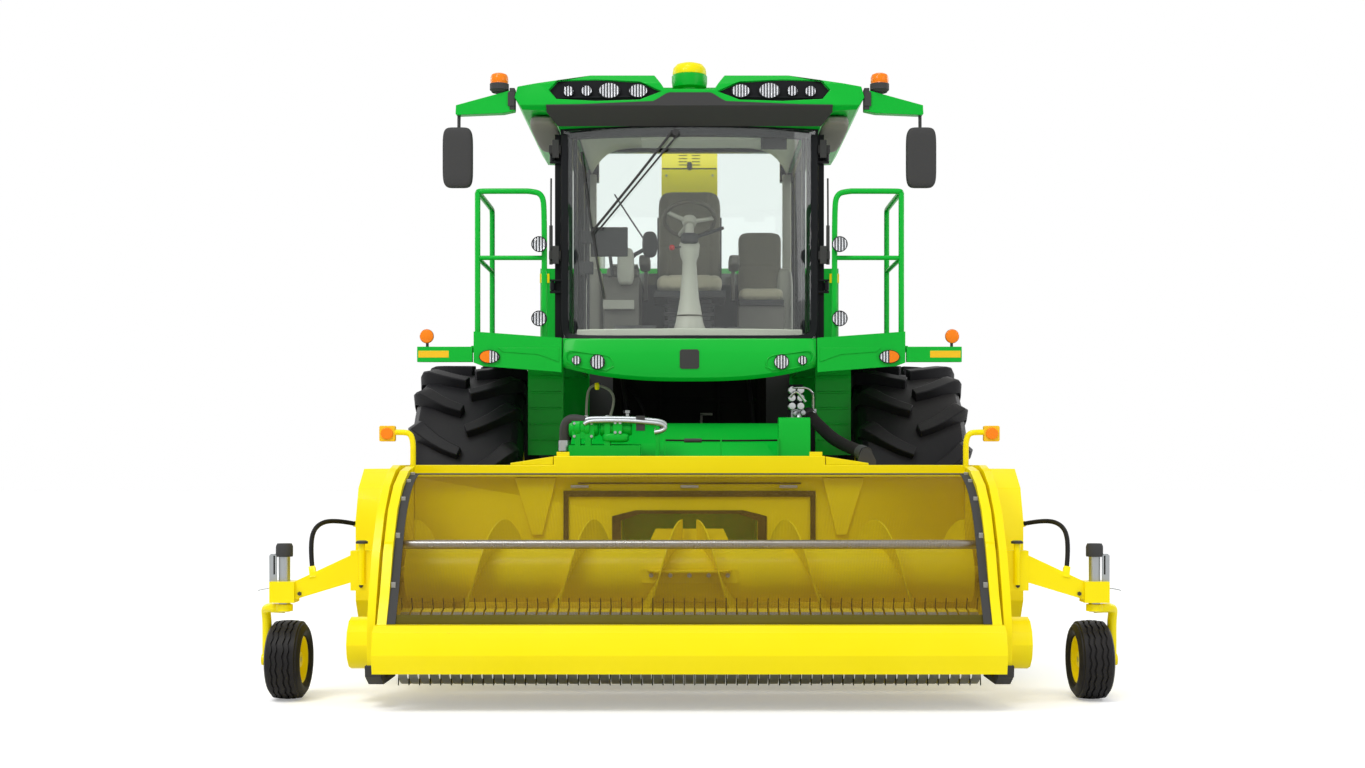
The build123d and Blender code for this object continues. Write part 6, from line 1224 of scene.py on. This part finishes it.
def build_cab_inside():
    """Headliner, carpet, trims, steering column and wheel, consoles, monitor and the seats' frames."""
    x = np.linspace(-0.69, 0.69, 41)
    y = np.array([-1.79, -1.7, -1.62, -1.54, -1.47, -1.4, -1.33, -1.27, -1.1, -0.8, -0.5, -0.23])
    top = np.interp(y, (-1.54, -1.27), (3.241, 3.43))
    z = 3.241 + (top[:, None] - 3.241) * (1 - np.abs(x / 0.69) ** 8)[None]
    bowed = np.repeat(y[:, None], len(x), axis=1)
    bowed[0] = CAB_FRONT + 0.02 - SCREEN_BOW * 0.9 * (1 - (x / 0.774) ** 2)
    bowed[1] = (bowed[0] + bowed[2]) / 2
    roof = np.stack([np.broadcast_to(x, z.shape), bowed, z], -1)
    liner = piece("headliner", [grid(roof)], "cab_liner", "chassis", open_sheet=True)
    solid = liner.modifiers.new("thickness", "SOLIDIFY")
    solid.thickness, solid.offset = 0.008, 0
    carpet = block(-0.715, 0.715, -1.7, -0.225, CAB_FLOOR + 0.0005, CAB_FLOOR + 0.014)
    piece("floor_mat", [carpet], "cab_carpet", "chassis", bevel=0.004)
    sill = np.column_stack([x, CAB_FRONT + 0.035 - SCREEN_BOW * (1 - (x / 0.774) ** 2), np.full(41, 1.985)])
    trims = [carried(sill, [(-0.012, -0.035), (0.012, -0.035), (0.012, 0.035), (-0.012, 0.035)])]
    trims += mirrored(block(0.655, 0.715, -0.262, -0.2215, 1.915, 3.235),
                      pillow((0.6, -0.55, 1.915), (0.715, -0.24, 2.55), 0.4, 14))
    posts = mirrored(block(0.69, 0.713, -1.74, -1.69, 1.915, 3.235))
    piece("cab_trims", [(shape, 0) for shape in trims] + [(shape, 1) for shape in posts],
          ("column_grey", "black_frame"),
          "chassis", bevel=0.006, segments=3)
    roof_fittings = [block(-0.3, 0.46, -1.66, -1.4, 3.2, 3.222), block(0.44, 0.6, -1.712, -1.696, 3.135, 3.222),
             tube([(0.52, -1.7, 3.22), (0.52, -1.69, 3.238)], 0.01, 8),
             tube([(-0.53, -0.226, 3.1), (-0.42, -0.224, 2.93), (-0.28, -0.222, 2.72)], 0.006, 8)]
    piece("inside_mirror", [(roof_fittings[0], 1)] + [(shape, 0) for shape in roof_fittings[1:]],
          ("black_plastic", "cab_liner"),
          "chassis", bevel=0.006, segments=3)
    wall = [block(-1.0, 1.0, 0.8155, 0.829, 1.9, 2.66)]
    wall += [block(-1.0, 1.0, 0.806, 0.8165, z, z + 0.03) for z in (2.05, 2.25, 2.45)]
    wall.append(block(-0.77, 0.77, 0.8155, 0.829, 1.505, 1.9))
    piece("body_front_shield", wall, "black_plastic", "chassis", bevel=0.003)

    column_y = -1.32
    hub_at = np.array((0.0, column_y + 0.075, 2.77))
    tilt = np.array([[1, 0, 0], [0, 0.809, -0.588], [0, 0.588, 0.809]])
    lap = np.arange(12) * TAU / 12
    ring = turned(np.column_stack([0.0135 * np.sin(lap), 0.162 + 0.0135 * np.cos(lap)]), 60, (0, 0, 0), "z", loop=True)
    spokes = [tube([(0, 0, -0.02), (0.08 * c, 0.08 * s_, -0.014), (0.158 * c, 0.158 * s_, 0)], 0.0135, 8, 4)
              for c, s_ in ((math.cos(a), math.sin(a)) for a in (math.radians(115), math.radians(-5),
                                                                 math.radians(205)))]
    boss = turned([(-0.05, 0.0), (-0.05, 0.04), (-0.012, 0.05), (0.0, 0.045), (0.004, 0.0)], 32, (0, 0, 0), "z")
    ring = (ring[0] @ tilt + hub_at, ring[1])
    spokes = [(shape[0] @ tilt + hub_at, shape[1]) for shape in [boss] + spokes]
    neck = tube([(0, column_y + 0.02, 2.62), (0, column_y + 0.04, 2.7), hub_at], (0.032, 0.028, 0.026), 16)
    oval = [(math.cos(a), math.sin(a)) for a in np.arange(24) * TAU / 24]
    levels = ((CAB_FLOOR + 0.001, 0.115, 0.1, -0.04), (2.03, 0.108, 0.095, -0.04), (2.1, 0.088, 0.085, -0.03),
              (2.25, 0.062, 0.062, -0.01), (2.4, 0.05, 0.05, 0.01), (2.49, 0.044, 0.046, 0.02),
              (2.53, 0.06, 0.055, 0.02),
              (2.6, 0.066, 0.058, 0.025), (2.63, 0.05, 0.045, 0.03))
    column = grid(np.array([[(cx * a, column_y + cy * b + shift, level) for cx, cy in oval]
                            for level, a, b, shift in levels]), wrap_v=True, cap=True)
    collar = turned([(2.135, 0.0), (2.135, 0.086), (2.143, 0.086), (2.143, 0.0)], 40, (0, column_y - 0.026, 0), "z")
    hood = pillow((-0.056, column_y - 0.06, 2.6), (0.056, column_y + 0.03, 2.67), 0.5, 14)
    knob = pillow((-0.13, column_y - 0.03, 2.56), (-0.094, column_y + 0.006, 2.596), 0.8, 10)
    stalk = tube([(-0.1, column_y - 0.01, 2.578), (-0.04, column_y, 2.585)], 0.006, 8)
    levers = [tube([(0.04, column_y + 0.03, 2.65), (0.13, column_y + 0.03, 2.68), (0.22, column_y + 0.03, 2.71)], 0.011,
                   8, 4)]
    pedals = [block(lo, lo + 0.085, -1.46, -1.445, CAB_FLOOR + 0.04, CAB_FLOOR + 0.16) for lo in (0.13, 0.24)]
    pedal_plate = plate([(-1.56, 2.0), (-1.57, 2.03), (-1.4, 2.075), (-1.39, 2.05)], -0.47, -0.21, "x")
    pedal_arm = [block(-0.36, -0.32, -1.48, -1.44, CAB_FLOOR + 0.014, 2.04), block(-0.29, -0.25, -1.48, -1.44,
                                                                                   CAB_FLOOR + 0.014, 2.045)]
    base = plate([(-1.0, 1.915), (-0.56, 1.915), (-0.56, 2.06), (-1.0, 2.06)], -0.19, 0.19, "x")
    folds = [block(-0.165 + k % 2 * 0.02, 0.165 - k % 2 * 0.02, -0.95, -0.6, 2.061 + k * 0.028, 2.087 + k * 0.028)
             for k in range(8)]
    pan = block(-0.235, 0.235, -1.065, -0.56, 2.286, 2.3305)
    shell = block(-0.22, 0.22, -0.59, -0.56, 2.32, 2.88)
    arms = mirrored(pillow((0.262, -1.0, 2.5), (0.335, -0.62, 2.58), 0.4, 14),
                    block(0.285, 0.31, -0.66, -0.6, 2.31, 2.52))
    box = plate([(-0.76, 1.915), (-0.76, 2.26), (-0.42, 2.26), (-0.42, 1.915)], 0.33, 0.64, "x")
    lid = block(0.335, 0.635, -0.785, -0.42, 2.261, 2.2995)
    rest = block(0.35, 0.62, -0.44, -0.42, 2.299, 2.77)
    shapes = [(ring, 0), (collar, 0), (column, 1), (neck, 1), (hood, 3), (knob, 4), (stalk, 3)]
    shapes += [(shape, 1) for shape in spokes]
    shapes += [(shape, 3) for shape in levers + pedals + [pedal_plate] + pedal_arm + folds]
    shapes += [(base, 2), (pan, 3), (shell, 3), (rest, 3), (box, 2), (lid, 3)] + [(shape, 2) for shape in arms]
    piece("steering_and_bases", shapes, ("wheel_brown", "column_grey", "cab_trim", "black_plastic", "red_lens"),
          "chassis", ("cab_controls",), bevel=0.006, segments=3)

    console = [plate([(-1.12, 1.915), (-1.12, 2.3), (-1.05, 2.42), (-0.7, 2.45), (-0.42, 2.42), (-0.42, 1.915)],
                     -0.56, -0.33, "x"), pillow((-0.55, -1.0, 2.43), (-0.34, -0.62, 2.5), 0.4, 14)]
    light = [pillow((-0.47, -1.18, 2.36), (-0.36, -1.08, 2.6), 0.5, 14), block(-0.56, -0.36, -1.16, -1.12, 2.2, 2.26),
             block(-0.52, -0.34, -1.0, -0.6, 2.5, 2.512)]
    dark = [tube([(-0.44, -1.04, 2.43), (-0.42, -1.06, 2.55), (-0.3, -1.05, 2.6)], 0.014, 10, 4),
            pillow((-0.31, -1.1, 2.55), (-0.21, -0.99, 2.72), 0.7, 16),
            tube([(-0.655, -1.2, 1.95), (-0.655, -1.24, 2.5), (-0.65, -1.2, 3.1)], 0.01, 8, 3),
            plate([(-0.64, 2.54), (-0.4, 2.54), (-0.4, 2.73), (-0.64, 2.73)], -1.185, -1.16, "y"),
            tube([(-0.5, -1.15, 2.42), (-0.51, -1.17, 2.5), (-0.52, -1.17, 2.6)], 0.012, 8, 3),
            block(-0.71, -0.62, -1.24, -1.2, 2.42, 2.5), block(-0.7, -0.6, -1.23, -1.2, 2.62, 2.7)]
    piece("side_console", [(shape, 0) for shape in console] + [(shape, 1) for shape in dark] + [(s_,
                                                                                                 2) for s_ in light],
          ("cab_trim", "black_plastic", "column_grey"), "chassis", bevel=0.008, segments=3)


def soft_pad(name, lo, hi, cap, seams, body="chassis"):
    """A crowned pad: a rounded block, remeshed, blown up as cloth with its travel capped, then its channels pressed."""
    lo, hi = np.array(lo, float), np.array(hi, float)
    inset = cap * 0.8
    mesh = write_mesh(name, [pillow(lo + inset, hi - inset, 0.3, 22)])
    tidy_mesh(mesh)
    pad = bpy.data.objects.new(name, mesh)
    bpy.context.scene.collection.objects.link(pad)
    bpy.context.view_layer.objects.active = pad
    remesh = pad.modifiers.new("remesh", "REMESH")
    remesh.mode, remesh.voxel_size = "VOXEL", 0.014
    bpy.ops.object.select_all(action="DESELECT")
    pad.select_set(True)
    bpy.ops.object.modifier_apply(modifier=remesh.name)
    start = np.zeros(len(pad.data.vertices) * 3, np.float32)
    pad.data.vertices.foreach_get("co", start)
    start = start.reshape(-1, 3)
    cloth = pad.modifiers.new("blow", "CLOTH")
    cloth.settings.use_pressure, cloth.settings.uniform_pressure_force = True, 4.0
    cloth.settings.effector_weights.gravity = 0
    cloth.point_cache.frame_end = 20
    scene = bpy.context.scene
    for step in range(1, 21):
        scene.frame_set(step)
    view = bpy.context.evaluated_depsgraph_get()
    blown = np.zeros(len(start) * 3, np.float32)
    pad.evaluated_get(view).data.vertices.foreach_get("co", blown)
    travel = blown.reshape(-1, 3) - start
    length = np.linalg.norm(travel, axis=1)[:, None]
    travel *= np.minimum(1, cap / np.maximum(length, 1e-9))
    pad.modifiers.remove(cloth)
    scene.frame_set(1)
    start = start + travel
    middle = (lo + hi) / 2
    size = hi - lo
    for axis, at, depth in seams:
        place = lo[axis] + size[axis] * at
        thin = int(np.argmin(size))
        near = np.exp(-((start[:, axis] - place) / 0.007) ** 2) * depth
        start[:, thin] -= np.sign(start[:, thin] - middle[thin]) * near
    start = np.clip(start, lo, hi)
    pad.data.vertices.foreach_set("co", start.ravel())
    pad.data.update()
    smooth = pad.modifiers.new("smooth", "SUBSURF")
    smooth.levels = smooth.render_levels = 1
    return pad


def build_seats():
    """Operator's and instructor's seats: cushions, backs and headrest, simulated and seamed."""
    cushion_z = CAB_FLOOR + 0.43
    pads = (
        # name, cloth, lowest corner, highest corner, cap, channels of (axis, share, depth)
        ("operator_cushion", "cushion_cloth", (-0.24, -1.08, cushion_z + 0.001), (0.24, -0.7, cushion_z + 0.11), 0.014,
         ((0, 0.2, 0.012), (0, 0.8, 0.012))),
        ("operator_back", "seat_cloth", (-0.235, -0.69, cushion_z + 0.001), (0.235, -0.591, cushion_z + 0.74), 0.014,
         ((0, 0.2, 0.012), (0, 0.8, 0.012), (2, 0.45, 0.01), (2, 0.78, 0.014))),
        ("instructor_cushion", "cushion_cloth", (0.32, -0.78, cushion_z - 0.029), (0.65, -0.52, cushion_z + 0.05), 0.01,
         ((1, 0.3, 0.008),)),
        ("instructor_back", "seat_cloth", (0.32, -0.51, cushion_z - 0.029), (0.65, -0.441, cushion_z + 0.48), 0.01,
         ((2, 0.5, 0.008),)),
    )
    for name, cloth, lo, hi, cap, seams in pads:
        pad = soft_pad(name, lo, hi, cap, seams)
        pad.data.materials.clear()
        pad.data.materials.append(bpy.data.materials[cloth])
        pad.data.polygons.foreach_set("use_smooth", np.ones(len(pad.data.polygons), bool))
        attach(pad, "chassis")
        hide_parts("seat_pads")


# Stage

def build_stage():
    """Floor, backdrop light, lamps and the camera at the photographed angle."""
    scene = bpy.context.scene
    mesh = write_mesh("floor", [grid(np.array([[(x, y, -FLOOR_DROP) for y in (-FLOOR_HALF, FLOOR_HALF)]
                                            for x in (-FLOOR_HALF, FLOOR_HALF)]))])
    floor = bpy.data.objects.new("floor", mesh)
    scene.collection.objects.link(floor)
    material, tree, surface = new_material("studio_floor")
    place = node(tree, "ShaderNodeTexCoord").outputs["Object"]
    cloud = node(tree, "ShaderNodeTexNoise", {"Vector": place, "Scale": 0.8, "Detail": 3.0}).outputs["Fac"]
    tone = node(tree, "ShaderNodeMix", {0: cloud, 6: (0.87, 0.87, 0.87, 1), 7: (0.89, 0.89, 0.89, 1)}, data_type="RGBA")
    tree.links.new(tone.outputs[2], surface.inputs["Base Color"])
    surface.inputs["Roughness"].default_value = 0.9
    surface.inputs["Specular IOR Level"].default_value = 0.1
    surface.inputs["Emission Color"].default_value = (1, 1, 1, 1)
    tree.links.new(math_node(tree, "MULTIPLY", node(tree, "ShaderNodeLightPath").outputs["Is Camera Ray"], 0.3),
                   surface.inputs["Emission Strength"])
    mesh.materials.append(material)
    world = bpy.data.worlds.new("studio")
    scene.world = world
    world.use_nodes = True
    tree = world.node_tree
    tree.nodes.clear()
    ray = node(tree, "ShaderNodeLightPath")
    seen = math_node(tree, "MAXIMUM", ray.outputs["Is Camera Ray"],
                     math_node(tree, "MAXIMUM", ray.outputs["Is Glossy Ray"], ray.outputs["Is Transmission Ray"]))
    level = math_node(tree, "MULTIPLY_ADD", seen, 0.45, 0.55)
    light = node(tree, "ShaderNodeBackground", {"Color": (1, 1, 1, 1), "Strength": level})
    node(tree, "ShaderNodeOutputWorld", {"Surface": light.outputs[0]})
    lamps = (
        # name, place, aim, size, power
        ("key", (-5.0, -9.0, 8.5), (0, -1.5, 1.4), 3.5, 300.0),
        ("fill", (7.0, -8.0, 5.5), (0, -1.5, 1.4), 5.0, 110.0),
        ("rim_left", (8.5, 3.0, 5.0), (0, 0, 1.6), 4.0, 170.0),
        ("rim_right", (-8.5, 3.0, 5.0), (0, 0, 1.6), 4.0, 170.0),
    )
    for name, place, aim, size, power in lamps:
        data = bpy.data.lights.new(name, "AREA")
        data.size, data.energy = size, power
        lamp = bpy.data.objects.new(name, data)
        scene.collection.objects.link(lamp)
        lamp.location = place
        lamp.rotation_euler = Vector(np.array(aim) - np.array(place)).to_track_quat("-Z", "Y").to_euler()
    data = bpy.data.lights.new("sky", "SUN")
    data.energy, data.angle = SKY_POWER, SKY_ANGLE
    sky = bpy.data.objects.new("sky", data)
    scene.collection.objects.link(sky)
    sky.rotation_euler = (math.radians(28), math.radians(-8), 0)
    camera = bpy.data.cameras.new("camera")
    camera.sensor_width, camera.lens = CAMERA_SENSOR, CAMERA_LENS
    camera.shift_x, camera.shift_y = CAMERA_SHIFT
    eye = bpy.data.objects.new("camera", camera)
    scene.collection.objects.link(eye)
    eye.location = CAMERA_PLACE
    eye.rotation_euler = (math.pi / 2, 0, 0)
    scene.camera = eye
    scene.view_settings.view_transform = "Standard"


class HarvesterSizes(bpy.types.PropertyGroup):
    """Sizes and colours that a user would change."""
    front_lugs: IntProperty(name="Front lugs", description="Tread lugs in each row of a front tyre", default=18, min=12,
                            max=26)
    rear_lugs: IntProperty(name="Rear lugs", description="Tread lugs in each row of a rear tyre", default=16, min=12,
                           max=24)
    green: FloatVectorProperty(name="Green", description="Colour of the machine's panels", subtype="COLOR",
                               default=linear(0, 180, 50)[:3], min=0, max=1)
    yellow: FloatVectorProperty(name="Yellow", description="Colour of the header, spout and wheels", subtype="COLOR",
                                default=linear(252, 232, 0)[:3], min=0, max=1)


def step(name, label, work, doc):
    """An operator class that runs one building step."""
    def execute(self, context):
        work()
        return {"FINISHED"}
    return type(f"HARVESTER_OT_{name}", (bpy.types.Operator,),
                {"bl_idname": f"harvester.{name}", "bl_label": label, "__doc__": doc, "execute": execute})


STEPS = [step(*row) for row in (
    ("stage", "Stage", build_stage, "Adds the floor, lights and camera"),
    ("finishes", "Finishes", lambda: build_finishes(bpy.context.scene.harvester), "Makes every material"),
    ("structure", "Structure", build_structure, "Dresses the nodes whose form is kept"),
    ("wheels", "Wheels", build_wheels, "Builds tyres and wheel discs"),
    ("front", "Front", build_front, "Builds the front panel and what shows under it"),
    ("body", "Body", build_body, "Builds the stripes, louvres, rear grille, treads, handles and spout fittings"),
    ("header", "Header", build_header, "Builds auger, reel, screen and lamps"),
    ("hoses", "Hoses", build_hoses, "Lays the feeder's sleeve and the gauge wheels' hoses"),
    ("drive", "Header drive", build_drive, "Builds the motors, valve block and pipes on the feeder"),
    ("couplers", "Couplers", build_couplers, "Builds the coupler bank and the looped line on the feeder"),
    ("casters", "Casters", build_casters, "Builds the gauge wheel yokes"),
    ("cab_outside", "Cab outside", build_cab_outside, "Builds lamps, mirrors, rails and wipers"),
    ("cab_inside", "Cab inside", build_cab_inside, "Builds the cab's fittings"),
    ("seats", "Seats", build_seats, "Builds the padded seats"),
)]


class HARVESTER_PT_panel(bpy.types.Panel):
    """Lists the building steps in the sidebar."""
    bl_idname, bl_label = "HARVESTER_PT_panel", "Forage harvester"
    bl_space_type, bl_region_type, bl_category = "VIEW_3D", "UI", "Harvester"

    def draw(self, context):
        for name in ("front_lugs", "rear_lugs", "green", "yellow"):
            self.layout.prop(context.scene.harvester, name)
        for operator in STEPS:
            self.layout.operator(operator.bl_idname)


def register():
    for cls in [HarvesterSizes, *STEPS, HARVESTER_PT_panel]:
        bpy.utils.register_class(cls)
    bpy.types.Scene.harvester = PointerProperty(type=HarvesterSizes)


def unregister():
    del bpy.types.Scene.harvester
    for cls in [HARVESTER_PT_panel, *reversed(STEPS), HarvesterSizes]:
        bpy.utils.unregister_class(cls)


def main():
    register()
    for operator in STEPS:
        getattr(bpy.ops.harvester, operator.bl_idname.split(".")[1])()


if __name__ == "__main__":
    main()
